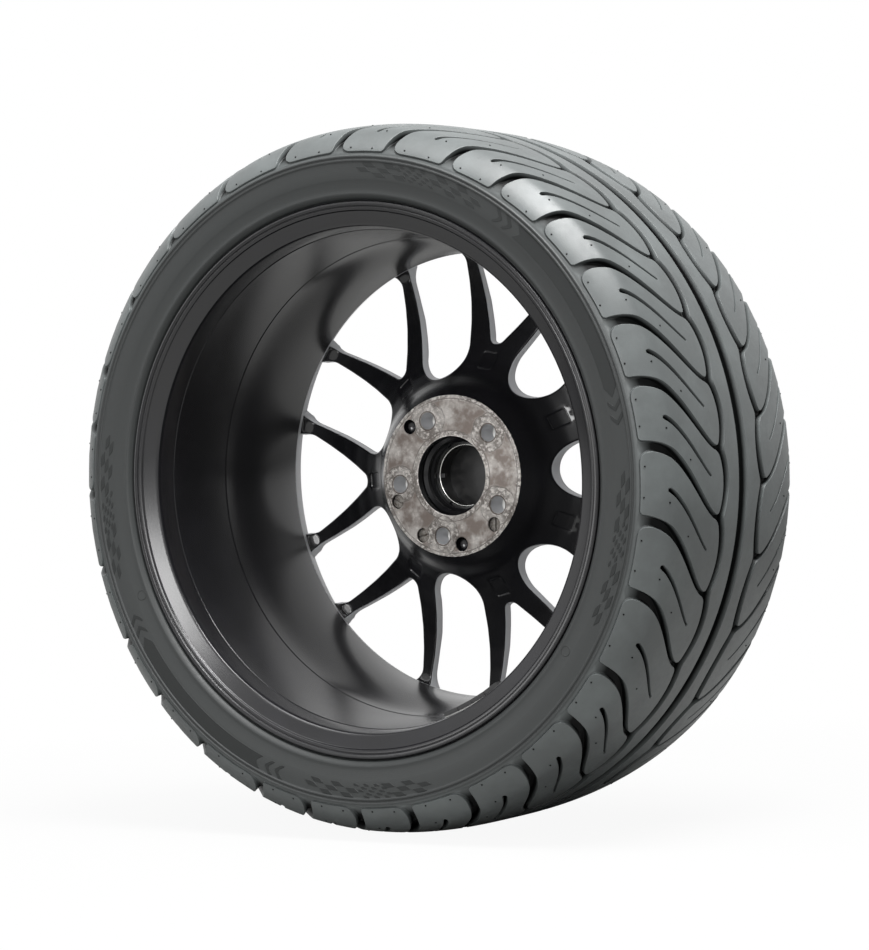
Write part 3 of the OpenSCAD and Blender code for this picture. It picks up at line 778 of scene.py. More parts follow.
@dataclass(frozen=True)
class CastWheelFinish:
    """The wheel's three surfaces in one material.

    The inner side is satin black enamel, with soft and slightly wavy reflections. The side that
    faces outwards and the walls of its windows are sprayed in a light satin grey, where the surface
    mark is one, and machined bare where it is two. The mounting pad is bare aluminium that years on
    a hub have polished round the bolts, stained brown between them and chipped at its edge.
    """

    name: str = "cast_wheel_enamel_and_bare_pad"
    black: str = "0d0d0f"
    dust: str = "0f0f12"
    grey: str = "b6b7ba"
    machined: str = "e6e6e4"
    metal: str = "e6e1dc"
    pit: str = "5a514b"
    stain: str = "85776f"
    bright: str = "ece8e3"
    roughness: float = 0.24
    dust_roughness: float = 0.26
    grey_roughness: float = 0.4
    pad_metallic: float = 0.25
    machined_metallic: float = 0.8
    painted: Pair = (0.15, 0.6)
    cut_bare: Pair = (1.4, 1.8)
    pad_radius: float = 75.3
    pad_y: float = 36.3
    bolt_circle: float = 57.15
    bolt_turn: float = 42.9
    # The radius of the thin ring of painted shade round each bolt hole.
    bolt_edge_shade: float = 8.7
    contact: float = 18.0
    inner_rim: float = 42.4
    outer_rim: float = 72.2

    def bolt_distance(self, w: Weave, place: Socket, radius: Socket) -> Socket:
        """Gives how far a point of the pad lies from the nearest bolt hole's middle, in metres."""
        parts = add_node(w.tree, "ShaderNodeSeparateXYZ", {0: place}).outputs
        turn = w.maths("SUBTRACT", w.maths("ARCTAN2", parts[2], parts[0]), math.radians(self.bolt_turn))
        half_step = math.pi / 5
        folded = w.maths("WRAP", turn, half_step, -half_step)
        along = w.maths("SUBTRACT", w.product(radius, w.maths("COSINE", folded)), self.bolt_circle * MM)
        across = w.product(radius, w.maths("SINE", folded))
        return w.maths("SQRT", w.maths("ADD", w.product(along, along), w.product(across, across)))

    def near(self, w: Weave, value: Socket, mm: float) -> Socket:
        """Gives a thin line where a length comes near a value."""
        return w.ramp(w.maths("ABSOLUTE", w.maths("SUBTRACT", value, mm * MM)), 0.75 * MM, 0.2 * MM)

    def pad(self, w: Weave, place: Socket, radius: Socket) -> tuple[Socket, Socket]:
        """Paints the worn pad, with a painted shade round the edge of each bolt hole.

        Args:
            w: the material's nodes.
            place: the point in the object.
            radius: its distance from the axle.

        Returns:
            The colour and the roughness.
        """
        cloud = w.noise(place, 16.0, 8.0, 0.62)
        speckle = w.noise(place, 2.6, 8.0, 0.72)
        wander = w.product(w.maths("SUBTRACT", cloud, 0.5), 9.0 * MM)
        from_bolt = self.bolt_distance(w, place, radius)
        off_bolt = w.maths("ADD", from_bolt, wander)
        between = w.ramp(off_bolt, (self.contact - 0.9) * MM, (self.contact + 1.8) * MM)
        inner = w.ramp(radius, 42.0 * MM, 43.2 * MM)
        outer = w.ramp(w.maths("ADD", radius, w.product(wander, 0.25)), 71.6 * MM, 70.4 * MM)
        stained = w.product(between, inner, outer)
        deep = w.product(stained, w.ramp(cloud, 0.34, 0.6))
        strong = w.mixed(stained, w.ramp(cloud, 0.3, 0.62, 0.2, 0.85), 0.2)
        base = w.blend(w.product(w.ramp(speckle, 0.6, 0.47), strong), self.metal, self.pit)
        base = w.blend(w.product(deep, 0.85), base, self.stain)
        chips = w.product(w.ramp(radius, 70.6 * MM, 71.8 * MM), w.ramp(speckle, 0.5, 0.56))
        base = w.blend(chips, base, self.bright)
        rims = w.maths("MAXIMUM", self.near(w, radius, self.outer_rim), self.near(w, radius, self.inner_rim))
        rims = w.maths("MAXIMUM", rims, self.near(w, off_bolt, self.contact))
        base = w.blend(w.product(rims, w.ramp(speckle, 0.4, 0.55), 0.8), base, self.pit)
        # Painted shade: a thin dark ring just outside the edge of each bolt hole.
        base = w.blend(self.near(w, from_bolt, self.bolt_edge_shade), base, self.pit)
        return base, w.mixed(deep, w.ramp(speckle, 0.35, 0.65, 0.62, 0.4), 0.32)

    def material(self) -> Material:
        """Makes the material."""
        w = Weave(bpy.data.materials.new(self.name))
        place, mark = w.place(), w.mark()
        radius = w.length(place, (1.0, 0.0, 1.0))
        axial = add_node(w.tree, "ShaderNodeSeparateXYZ", {0: place}).outputs[1]
        dust = w.ramp(w.noise(place, 38.0, 4.0, 0.55), 0.4, 0.75)
        painted, cut_bare = w.ramp(mark, *self.painted), w.ramp(mark, *self.cut_bare)
        colour = w.blend(painted, w.blend(dust, self.black, self.dust), self.grey)
        colour = w.blend(cut_bare, colour, self.machined)
        enamel = w.mixed(dust, self.roughness, self.dust_roughness)
        gloss = w.mixed(painted, enamel, self.grey_roughness)
        ragged = w.product(w.maths("SUBTRACT", w.noise(place, 3.0, 4.0), 0.5), 1.2 * MM)
        on_pad = w.ramp(w.maths("ADD", radius, ragged), (self.pad_radius + 0.3) * MM, self.pad_radius * MM)
        bare = w.product(on_pad, w.ramp(axial, self.pad_y * MM, (self.pad_y - 0.2) * MM))
        pad_colour, pad_gloss = self.pad(w, place, radius)
        peel = w.product(w.noise(place, 1.4, 1.0), 0.012)
        pitted = w.product(w.noise(place, 1.2, 5.0, 0.7), 0.22)
        metallic = w.product(cut_bare, self.machined_metallic)
        return w.shader({
            "Base Color": w.blend(bare, colour, pad_colour),
            "Roughness": w.mixed(bare, gloss, pad_gloss),
            "Metallic": w.maths("MAXIMUM", w.product(bare, self.pad_metallic), metallic),
            "Normal": w.bump(w.mixed(bare, peel, pitted), 1.0),
        })


# Gloss-moulded nylon cap: deep black, a soft broad shine.
CAP_NYLON = Finish("black_cap_nylon", "0b0b0c", "151413", 0.3, 0.5, 9.0, 0.8, 0.02)
# Drawn spring wire: bright lines of reflection, faint draw marks.
SPRING_WIRE = Finish("drawn_spring_wire", "c9c9c6", "a5a39e", 0.22, 0.4, 4.0, 0.5, 0.01, 1.0)
# Zinc-plated screws after years behind a wheel: dull grey-brown with rust in the hollows.
WORN_SCREW = Finish("worn_zinc_screw", "6d6a66", "3f342c", 0.42, 0.7, 1.6, 0.4, 0.05, 0.8)
# Powder-coated steel weights: black, dull, lightly pebbled.
COATED_WEIGHT = Finish("powder_coated_weight", "141415", "1f1f20", 0.45, 0.6, 6.0, 0.7, 0.04)
# Foam tape: pale grey edge with open pores.
FOAM_TAPE = Finish("grey_foam_tape", "8d8d8b", "6f6f6e", 0.85, 0.95, 2.0, 0.6, 0.1)
# Anodised valve stem: silver, fine turned surface.
VALVE_METAL = Finish("anodised_valve_stem", "b9babb", "96979a", 0.3, 0.42, 3.0, 0.3, 0.01, 1.0)
# Moulded seal rubber: black, matt.
SEAL_RUBBER = Finish("moulded_seal_rubber", "161616", "222221", 0.6, 0.75, 3.0, 0.5, 0.03)
# Nickel-plated steel: cool and bright with a fine haze.
NICKEL_STEEL = Finish("nickel_plated_steel", "c4c3be", "9e9c96", 0.25, 0.4, 2.5, 0.3, 0.01, 1.0)
# Turned brass of the valve core: warm yellow, lightly tarnished.
CORE_BRASS = Finish("turned_core_brass", "b78d3e", "8c6a30", 0.28, 0.45, 1.5, 0.3, 0.01, 1.0)
# Moulded plastic valve cap: black, satin.
CAP_PLASTIC = Finish("black_valve_cap_plastic", "121213", "1c1c1c", 0.42, 0.55, 2.0, 0.4, 0.02)

# Which finish each node of the frame takes, where its own shape is shown.
NODE_FINISHES: dict[str, Finish] = {
    "centre_cap": CAP_NYLON,
    "cap_wire": SPRING_WIRE,
    "weight_tape": FOAM_TAPE,
    "valve_stem": VALVE_METAL,
    "valve_grommet": SEAL_RUBBER,
    "valve_washer": NICKEL_STEEL,
    "valve_nut": NICKEL_STEEL,
    "core_body": CORE_BRASS,
    "core_pin": NICKEL_STEEL,
    "core_seal": SEAL_RUBBER,
    "valve_cap": CAP_PLASTIC,
    "valve_cap_gasket": SEAL_RUBBER,
    **{f"pocket_screw_{n}": WORN_SCREW for n in (1, 2, 3)},
    **{f"weight_{n}": COATED_WEIGHT for n in (1, 2, 3, 4)},
}


# Shells


@dataclass
class Shell:
    """Points with the way that they face and a mark, and the faces between them."""

    at: list[np.ndarray] = field(default_factory=list)
    facing: list[np.ndarray] = field(default_factory=list)
    marks: list[np.ndarray] = field(default_factory=list)
    faces: list[tuple[int, ...]] = field(default_factory=list)
    count: int = 0

    def add(self, at: np.ndarray, facing: np.ndarray, mark: float | np.ndarray) -> np.ndarray:
        """Adds points, [x, along the axle, z], and gives their numbers."""
        self.at.append(at)
        self.facing.append(unit(facing))
        self.marks.append(np.broadcast_to(mark, len(at)))
        self.count += len(at)
        return np.arange(self.count - len(at), self.count)

    def strips(self, rows: Sequence[np.ndarray], closed: bool = True) -> None:
        """Joins rows of equal length, each to the next, with four-sided faces."""
        for a, b in zip(rows, rows[1:]):
            for i in range(len(a) if closed else len(a) - 1):
                j = (i + 1) % len(a)
                self.faces.append((a[i], a[j], b[j], b[i]))

    def fan(self, row: np.ndarray, tip: int) -> None:
        """Joins a closed row to one point."""
        self.faces += [(row[i], row[(i + 1) % len(row)], tip) for i in range(len(row))]

    def swept(
        self,
        rows: np.ndarray,
        normals: np.ndarray,
        turns: np.ndarray,
        marks: np.ndarray,
        centre: Sequence[float] = (0.0, 0.0),
    ) -> list[np.ndarray]:
        """Sweeps a section round an axis along Y.

        Args:
            rows: the section, [radius, place along the axle].
            normals: the way that each row faces.
            turns: the angles of the points of a row.
            marks: each row's mark.
            centre: where the axis lies.

        Returns:
            The numbers of each row's points.
        """
        spokes = ways(turns)
        numbers = [
            self.add(on_axle(spokes * r + centre, y), on_axle(spokes * nr, ny), float(mark))
            for (r, y), (nr, ny), mark in zip(rows, normals, marks)
        ]
        self.strips(numbers)
        return numbers

    def mesh(self, name: str) -> Mesh:
        """Makes the mesh, with every face turned the way that its points face."""
        at, facing = np.vstack(self.at), np.vstack(self.facing)
        turned = []
        for face in self.faces:
            p = at[list(face)]
            normal = np.cross(p[2] - p[0], p[-1] - p[1])
            turned.append(face if normal @ facing[list(face)].sum(0) > 0 else face[::-1])
        out, around = round_frame(at)
        lean = np.stack([(facing * out).sum(1), facing[:, 1], (facing * around).sum(1)], 1)
        return marked_mesh(name, at * MM, turned, lean, np.concatenate(self.marks))


def bevelled(
    line: np.ndarray, closed: bool, size: float, sharp: float = 24.0
) -> tuple[np.ndarray, np.ndarray]:
    """Gives a section's rows and normals, with a small bevel in the place of each sharp corner.

    Args:
        line: the section, [radius, place along the axle], with the air on its right.
        closed: whether it returns to its first point.
        size: how far a bevel reaches along both sides of its corner.
        sharp: the turn in degrees from which a corner is sharp.

    Returns:
        The rows and one normal for each.
    """
    count = len(line)
    rows, normals = [], []
    for i in range(count):
        before = line[i] - line[i - 1] if closed or i > 0 else line[1] - line[0]
        after = line[(i + 1) % count] - line[i] if closed or i < count - 1 else line[-1] - line[-2]
        near, far = np.linalg.norm(before), np.linalg.norm(after)
        d1, d2 = before / near, after / far
        n1, n2 = np.array([d1[1], -d1[0]]), np.array([d2[1], -d2[0]])
        if math.degrees(math.acos(min(1.0, float(d1 @ d2)))) < sharp:
            rows.append(line[i])
            normals.append(unit(n1 * far + n2 * near))
        else:
            rows += [line[i] - d1 * min(size, near * 0.4), line[i] + d2 * min(size, far * 0.4)]
            normals += [n1, n2]
    return np.array(rows), np.array(normals)


# The tyre


@dataclass(frozen=True)
class TyreSizes:
    """The tyre's sizes as moulded; places along the axle grow outwards from the middle plane."""

    radius: float = 321.24
    crown_half: float = 111.5
    crown_drop: float = 8.7
    middle_half: float = 8.0
    widest_radius: float = 284.0
    half_section: float = 133.0
    tread_depth: float = 8.0
    end_depth: float = 2.0
    block_end: float = 0.75
    flange_crest: float = 248.5
    protector_y: float = 128.2
    carcass: float = 7.5
    ring_step: float = 3.6
    ring: Line = ((3.9, -0.9), (3.5, -0.1), (3.1, 0.0), (2.3, 0.0), (1.9, -0.1), (1.5, -0.9))
    wall: Line = ((-3.4, -1.0), (-10.0, -1.3), (-17.0, -2.0), (-17.8, -2.6), (-24.0, -3.6))
    guard: Line = (
        (9.5, 0.8), (7.4, 0.7), (6.4, 0.9), (5.2, 0.9), (4.0, 0.3), (2.8, -1.0), (1.6, -2.6), (0.8, -4.6),
        (0.3, -6.0),
    )
    bead_toe: Line = ((230.3, 95.2), (233.8, 95.6))
    liner: Line = (
        (244.5, 104.5), (261.0, 117.0), (270.0, 122.6), (281.0, 124.0), (287.0, 120.5), (292.5, 115.5),
    )


@dataclass(frozen=True)
class TreadSizes:
    """The sizes of the tread pattern; angles in degrees, pitches as parts of a medium one."""

    order: str = "MMMSLMMSSSSSSMSMLLLLSMLLMMLSSS"
    small: float = 0.877
    large: float = 1.147
    start: float = -92.4
    rib_w: float = 19.0
    wave: float = 7.2
    wave_soft: float = 0.12
    wavy_w: float = 10.0
    cross_w: float = 4.0
    cross_shoulder_w: float = 9.0
    sweep: float = 11.9
    sweep_bias: float = 0.93
    sill: float = 2.8
    slot: Pair = (57.5, 113.5)
    slot_half: tuple[float, float, float] = (0.9, 1.9, 2.1)
    slot_depth: float = 6.4
    slot_bevel: float = 0.6
    outboard_lead: float = 5.2
    columns: int = 8
    bevel: float = 0.55
    fillet: float = 1.8
    foot_rise: float = 1.2
    vents: Line = ((3.0, 0.3), (4.0, 0.72), (26.0, 0.34), (52.0, 0.24))

    def part(self, pitch: Pitch) -> float:
        """Gives a pitch's length as a part of a medium one."""
        return {Pitch.SMALL: self.small, Pitch.MEDIUM: 1.0, Pitch.LARGE: self.large}[pitch]

    def medium(self) -> float:
        """Gives the angle of a medium pitch."""
        return 360 / sum(self.part(Pitch(c)) for c in self.order)

    def spots(self, side: Side) -> list[tuple[float, int]]:
        """Gives each pitch's angle and the number of its cell."""
        turn, found = self.start + (self.outboard_lead if side is Side.OUTBOARD else 0), []
        for pitch in (Pitch(c) for c in self.order):
            found.append((turn, list(Pitch).index(pitch)))
            turn += self.medium() * self.part(pitch)
        return found


@dataclass
class TyreProfile:
    """The section of the moulded tyre from the crown's middle round the bead to the liner's.

    Its line, [radius, place along the axle], is swept round. Lengths along it are called s.
    """

    sizes: TyreSizes

    def __post_init__(self) -> None:
        """Draws the section, and finds the marks along it that the tread needs."""
        t = self.sizes
        y = np.arange(0, t.crown_half, 1.5)
        fall = t.crown_drop * (np.maximum(y - t.middle_half, 0) / (t.crown_half - t.middle_half)) ** 3
        low, bulge = t.radius - t.crown_drop, t.half_section - t.crown_half
        share = np.append(np.linspace(0, 1, 40)[:-1], t.block_end)
        shoulder_y = t.crown_half + bulge * np.sin(np.pi / 2 * share)
        shoulder = np.stack([low - (low - t.widest_radius) * share, shoulder_y], 1)
        top = np.vstack([np.stack([t.radius - fall, y], 1), shoulder[:-1]])
        for _ in range(30):
            top[1:-1] = top[1:-1] * 0.5 + (top[:-2] + top[2:]) * 0.25
        crest, ring = t.flange_crest, np.array(t.ring)
        rings = np.vstack([ring, ring - (t.ring_step, 0)]) + (t.widest_radius, t.half_section)
        wall = np.array(t.wall) + (t.widest_radius, t.half_section)
        guard = np.array(t.guard) + (crest, t.protector_y)
        bead = [arc((crest - 9.5, 123.8), 9.7, -2, -88, 8), arc((238.5, 106.8), 7.3, 92, 178, 6), t.bead_toe]
        crown_y = np.array([0.85, 0.6, 0.3, 0.03]) * t.crown_half
        inner_radius = t.radius - t.crown_drop * (crown_y / t.crown_half) ** 3 - t.tread_depth - t.carcass
        top = top[top[:, 0] > t.widest_radius + 4.6]
        self.line = np.vstack([top, rings, wall, guard, *bead, t.liner, np.stack([inner_radius, crown_y], 1)])
        self.length = lengths(self.line)
        self.normal = outward(self.line, False)
        self.widest_row = len(top)
        self.block_end_s = float(self.length[np.linalg.norm(top - shoulder[-1], axis=1).argmin()])
        self.smooth_s = float(self.length[self.widest_row - 1])

    def at(self, s: np.ndarray) -> tuple[np.ndarray, np.ndarray]:
        """Gives the places and normals at lengths along the section."""
        return looked_up(s, self.length, self.line), unit(looked_up(s, self.length, self.normal))

    def s_at(self, y: np.ndarray | float) -> np.ndarray:
        """Gives the length along crown and shoulder at places along the axle."""
        return np.interp(y, self.line[: self.widest_row, 1], self.length[: self.widest_row])

    def wall_y(self, radius: np.ndarray) -> np.ndarray:
        """Gives the place along the axle of the sidewall's outside at radii."""
        wall = self.line[self.widest_row :]
        wall = wall[(wall[:, 0] > 252.0) & (wall[:, 1] > 128.0)][::-1]
        return np.interp(radius, wall[:, 0], wall[:, 1])


@dataclass
class TreadCell:
    """One pitch of one side of the tyre, from the middle groove to the middle of the liner."""

    tyre: TyreSizes
    tread: TreadSizes
    profile: TyreProfile
    pitch: Pitch
    side: Side
    map: FlatMap = field(default_factory=FlatMap)

    FLOOR_START = 3.0
    TOP_SPACING = 8.0
    LINE_SPACING = 3.0

    def __post_init__(self) -> None:
        """Works out the places along the section that the pattern needs."""
        t, tread = self.tyre, self.tread
        self.length = math.radians(tread.medium() * tread.part(self.pitch)) * t.radius
        self.cusp_y = t.middle_half + tread.rib_w + tread.wave
        self.end_s, self.last_s = self.profile.block_end_s, self.profile.smooth_s

    def place_y(self, s: np.ndarray) -> np.ndarray:
        """Gives how far along the axle a place on the section lies."""
        return np.interp(s, self.profile.length, self.profile.line[:, 1])

    def cross(self, s: np.ndarray) -> np.ndarray:
        """Gives how far round the middle of a cross groove lies from its cusp."""
        lead = self.cusp_y + 8
        t = np.clip((self.place_y(s) - lead) / (self.tyre.half_section - lead), 0, 1)
        return math.radians(self.tread.sweep) * self.tyre.radius * smooth_step(t**self.tread.sweep_bias)

    def cross_half(self, s: np.ndarray) -> np.ndarray:
        """Gives half the width of a cross groove."""
        t = (self.place_y(s) - self.cusp_y) / (self.tyre.half_section - self.cusp_y)
        return (self.tread.cross_w + (self.tread.cross_shoulder_w - self.tread.cross_w) * smooth_step(t)) / 2

    def wave(self, a: np.ndarray) -> np.ndarray:
        """Gives the swing of a wavy groove, which peaks softly at both ends of the pitch."""
        u, soft = np.abs(a / self.length * 2 - 1), self.tread.wave_soft
        over = np.maximum(u - (1 - soft), 0)
        straight = np.minimum(u, 1 - soft)
        return self.tread.wave * (straight**2 + 2 * (1 - soft) * (over - over**2 / (2 * soft)))

    def depth(self, at: np.ndarray) -> np.ndarray:
        """Gives the depth of the grooves' floor at points of the map.

        Args:
            at: the points, [round the tyre, along the section].

        Returns:
            The depths: full on the crown, running out over the shoulder, less on the blocks' sills.
        """
        t, s = self.tyre, at[:, 1]
        crown_s = float(self.profile.s_at(t.crown_half))
        run_out = np.clip((s - crown_s) / (self.end_s - crown_s), 0, 1)
        deep = t.tread_depth + (t.end_depth - t.tread_depth) * run_out
        run_off = self.end_s + 1.2
        deep = deep * (1 - smooth_step(np.clip((s - run_off) / (self.last_s - run_off), 0, 1)))
        past = at[:, 0] - self.cross(s)
        near_cross = np.minimum(np.abs(past), np.abs(past - self.length)) < 7
        return deep - self.tread.sill * np.exp(-(((s - self.cusp_y - 14) / 7.0) ** 2)) * near_cross

    def boundary(self, at_length: float, s: np.ndarray) -> np.ndarray:
        """Gives the line between two pitches, at the start or the end of this one."""
        return np.stack([self.cross(s) + at_length, s], 1)

    def relief(self, line: np.ndarray, closed: bool, clearance: np.ndarray | float = 99.0) -> np.ndarray:
        """Adds the four lines of a block's edge: top, wall's top, wall's foot and floor.

        Args:
            line: the edge of the block, with the groove on its right.
            closed: whether it goes round a block.
            clearance: how far off the middle of the groove is, point by point.

        Returns:
            The line round the block's top.
        """
        n = outward(line, closed)
        if not closed:
            n[0] = n[-1] = (0.0, np.sign(n[0, 1]))
        bevel, fillet = self.tread.bevel, self.tread.fillet
        reach = np.minimum(np.minimum(fillet, 0.8 * clearance), 0.55 * self.depth(line))[:, None]
        deep = self.depth(line + n * reach)
        self.map.line(line - n * bevel, closed=closed)
        self.map.line(line, np.minimum(bevel, deep * 0.4), n, closed)
        self.map.line(line + n * reach / 3, deep - np.minimum(self.tread.foot_rise, deep * 0.3), n, closed)
        self.map.line(line + n * reach, deep, closed=closed)
        return line - n * bevel

    def wave_off(self) -> float:
        """Gives how far the softened peak of the wave falls short of the full swing."""
        return self.tread.wave - float(self.wave(np.array([0.0]))[0])

    def draw_boundary(self) -> None:
        """Adds the outline of the cell, with points where each rib's lines meet it."""
        middle, bevel, fillet = self.tyre.middle_half, self.tread.bevel, self.tread.fillet
        edge_s, steps = self.cusp_y - self.wave_off(), np.array([-bevel, 0.0, fillet / 3, fillet])
        past_rib = np.arange(edge_s + fillet + 3.2, self.end_s, 3.2)
        s = [self.FLOOR_START, 14.0, 20.5, 27.0, *(middle - steps), *(edge_s + steps), *past_rib]
        s = np.array(sorted(s + [self.end_s + 1.5, self.last_s]))
        for at_length in (0.0, self.length):
            line = self.boundary(at_length, s)
            deep, lean = self.depth(line), np.zeros_like(line)
            deep[(s >= middle + bevel - 0.01) & (s <= edge_s - bevel + 0.01)] = 0
            for base, sign in ((middle, -1), (edge_s, 1)):
                wall, foot = np.isclose(s, base), np.isclose(s, base + sign * fillet / 3)
                deep[wall] = bevel
                deep[foot] -= self.tread.foot_rise
                lean[wall | foot] = (0, sign)
            self.map.line(line, deep, lean, False)
        for s_end in (self.FLOOR_START, self.last_s):
            a = np.linspace(0, self.length, self.tread.columns + 1) + float(self.cross(np.array([s_end]))[0])
            line = np.stack([a, np.full_like(a, s_end)], 1)
            self.map.line(line, self.depth(line), closed=False)

    def draw_rib(self) -> np.ndarray:
        """Adds both edges of the rib beside the middle groove, and gives the wavy one."""
        a = np.linspace(0, self.length, int(self.length / self.LINE_SPACING) + 1)
        wavy = np.stack([a, self.tyre.middle_half + self.tread.rib_w + self.wave(a)], 1)
        self.relief(np.stack([a, np.full_like(a, self.tyre.middle_half)], 1), False)
        self.relief(wavy[::-1], False)
        return wavy

    def draw_block(self) -> np.ndarray:
        """Adds the shoulder block: a wavy foot, two swept sides and a rounded end.

        Returns:
            The line round its top.
        """
        foot_s = self.tyre.middle_half + self.tread.rib_w + self.tread.wavy_w
        s = np.linspace(self.cusp_y + 5, self.end_s, 60)
        left, right = self.boundary(0.0, s), self.boundary(self.length, s)
        half = self.cross_half(s)[:, None]
        left, right = left + outward(left, False) * half, right - outward(right, False) * half
        a = np.linspace(left[0, 0], right[0, 0], 40)
        foot = np.stack([a, foot_s + self.wave(a) + 0.9 * np.abs(a / self.length * 2 - 1) ** 6], 1)
        left = np.vstack([foot[:1], left[left[:, 1] > foot[0, 1]]])
        right = np.vstack([foot[-1:], right[right[:, 1] > foot[-1, 1]]])
        end = np.stack([right[-1], left[-1]])
        outline = joined([foot, right, end, left[::-1]], [5.5, 13.0, 3.5, 4.0], 8)
        line = resampled(outline, self.LINE_SPACING, True)
        groove_s = np.linspace(30, self.last_s, 400)
        middles = np.vstack([self.boundary(x, groove_s) for x in (0.0, self.length)])
        return self.relief(line, True, distance(line, middles))

    def draw_slot(self) -> np.ndarray:
        """Adds the blind slot in the block, thin towards the middle and blunt towards the shoulder.

        Returns:
            The line round its mouth.
        """
        bevel, steps = self.tread.slot_bevel, 24
        s = self.profile.s_at(np.linspace(*self.tread.slot, steps))
        middle = np.stack([self.cross(s) + self.length / 2, s], 1)
        half = np.interp(np.linspace(0, 1, steps), [0, 0.75, 1], self.tread.slot_half)[:, None]
        n = outward(middle, False)
        along = unit((middle[-1] - middle[-2])[None, :])[0]
        across = np.array([along[1], -along[0]])
        tip = [middle[-1] + half[-1] * (math.cos(x) * along + math.sin(x) * across) for x in (0.8, 0.0, -0.8)]
        heel = middle[:1] - unit((middle[1] - middle[0])[None, :]) * half[0]
        line = np.vstack([middle + n * half, np.array(tip), (middle - n * half)[::-1], heel])
        line = resampled(line, 2.4, True)
        n = outward(line, True)
        room = np.minimum(distance(line, middle), 2.0)[:, None]
        self.map.line(line + n * bevel)
        self.map.line(line, bevel, -n)
        self.map.line(line - n * room * 0.45, self.tread.slot_depth, -n)
        return line + n * bevel

    def draw_tops(self, wavy: np.ndarray, block_top: np.ndarray, slot_top: np.ndarray) -> None:
        """Adds points inside the tops of the rib and the block, so that they follow the crown.

        Args:
            wavy: the rib's wavy edge.
            block_top: the line round the block's top.
            slot_top: the line round the slot's mouth.
        """
        step, row_step = self.TOP_SPACING, self.TOP_SPACING * 0.87
        s, a = np.meshgrid(np.arange(10, self.end_s, row_step), np.arange(0, self.length * 2.2, step))
        a = a + (np.round(s / row_step).astype(int) % 2) * step / 2
        spots = np.stack([a.ravel(), s.ravel()], 1)
        block = inside(block_top, spots) & ~inside(slot_top, spots)
        block &= (distance(spots, block_top) > 3.2) & (distance(spots, slot_top) > 3.0)
        rib = (spots[:, 0] > 3) & (spots[:, 0] < self.length - 3) & (spots[:, 1] > self.tyre.middle_half + 4)
        rib &= spots[:, 1] < np.interp(spots[:, 0], wavy[:, 0], wavy[:, 1]) - 4
        for spot in spots[block | rib]:
            self.map.point(spot)

    def wall_rows(self, first: int) -> tuple[np.ndarray, np.ndarray, np.ndarray, np.ndarray]:
        """Makes the rows down the sidewall, round the bead and along the liner.

        Args:
            first: the number that the first new point will have.

        Returns:
            The new points' places, facings and turns, and the new triangles.
        """
        rows = np.flatnonzero(self.profile.length > self.last_s + 0.3)
        columns = self.tread.columns + 1
        round_ = np.linspace(0, self.length, columns) + float(self.cross(np.array([self.last_s]))[0])
        top = [self.map.point((a, self.last_s)) for a in round_]
        place = np.repeat(self.profile.line[rows], columns, 0)
        facing = np.column_stack([np.repeat(self.profile.normal[rows], columns, 0), np.zeros(len(place))])
        grid = np.vstack([[top], first + np.arange(len(place)).reshape(len(rows), columns)])
        a, b, c, d = grid[:-1, :-1], grid[:-1, 1:], grid[1:, 1:], grid[1:, :-1]
        faces = np.vstack([np.stack(corners, 2).reshape(-1, 3) for corners in ((a, b, c), (a, c, d))])
        return place, facing, np.tile(round_ / self.tyre.radius, len(rows)), faces

    def mesh(self) -> Mesh:
        """Builds the cell's mesh, bent round the axle, with its leans stored."""
        self.draw_boundary()
        self.draw_tops(self.draw_rib(), self.draw_block(), self.draw_slot())
        first = self.boundary(0.0, np.linspace(self.FLOOR_START, self.last_s, 300))

        def keep(middles: np.ndarray) -> np.ndarray:
            """Keeps what lies between the two boundaries."""
            past = middles[:, 0] - np.interp(middles[:, 1], first[:, 1], first[:, 0])
            return (past > -0.05) & (past < self.length + 0.05)

        faces = self.map.triangles(keep)
        at, depth, lean = self.map.arrays()
        place, normal = self.profile.at(at[:, 1])
        along = np.stack([-normal[:, 1], normal[:, 0]], 1)
        level = (np.abs(lean).sum(1) == 0)[:, None]
        facing = np.column_stack([np.where(level, normal, along * lean[:, 1:] + normal * 0.15), lean[:, 0]])
        wall, wall_facing, wall_turn, wall_faces = self.wall_rows(len(at))
        place = np.vstack([place - normal * depth[:, None], wall])
        turn = np.concatenate([at[:, 0] / self.tyre.radius, wall_turn])
        facing = unit(np.vstack([facing, wall_facing]) * [1, self.side.value, 1])
        at = on_axle(ways(turn) * place[:, :1], place[:, 1] * self.side.value) * MM
        faces = np.vstack([faces, wall_faces])
        if self.side is Side.OUTBOARD:
            faces = faces[:, ::-1]
        name = f"cell_{self.side.name}_{self.pitch.name}"
        return marked_mesh(name, at, faces, facing, np.concatenate([depth, np.zeros(len(wall))]))

    def vents(self) -> Mesh:
        """Builds the stubs that the mould's vents leave on the cell's block."""
        shell = Shell()
        for back, share in self.tread.vents:
            s = np.array([self.end_s - back])
            place, normal = self.profile.at(s)
            turn = (self.cross(s) + share * self.length) / self.tyre.radius
            foot, up = (on_axle(ways(turn) * v[:, :1], v[:, 1] * self.side.value)[0] for v in (place, normal))
            stub(shell, foot, unit(up))
        return shell.mesh("vents")


# The rows of a vent stub: radius, height, and how far it faces sideways.
STUB_ROWS = ((0.85, -0.15, 1.0), (0.75, 0.35, 0.8), (0.5, 0.5, 0.2))
STUB_SIDES = 8
# A stub's surface mark lies past the grooves' full depth, so the stubs take the darkest painted groove shade.
STUB_SHADE_MARK = 5.0


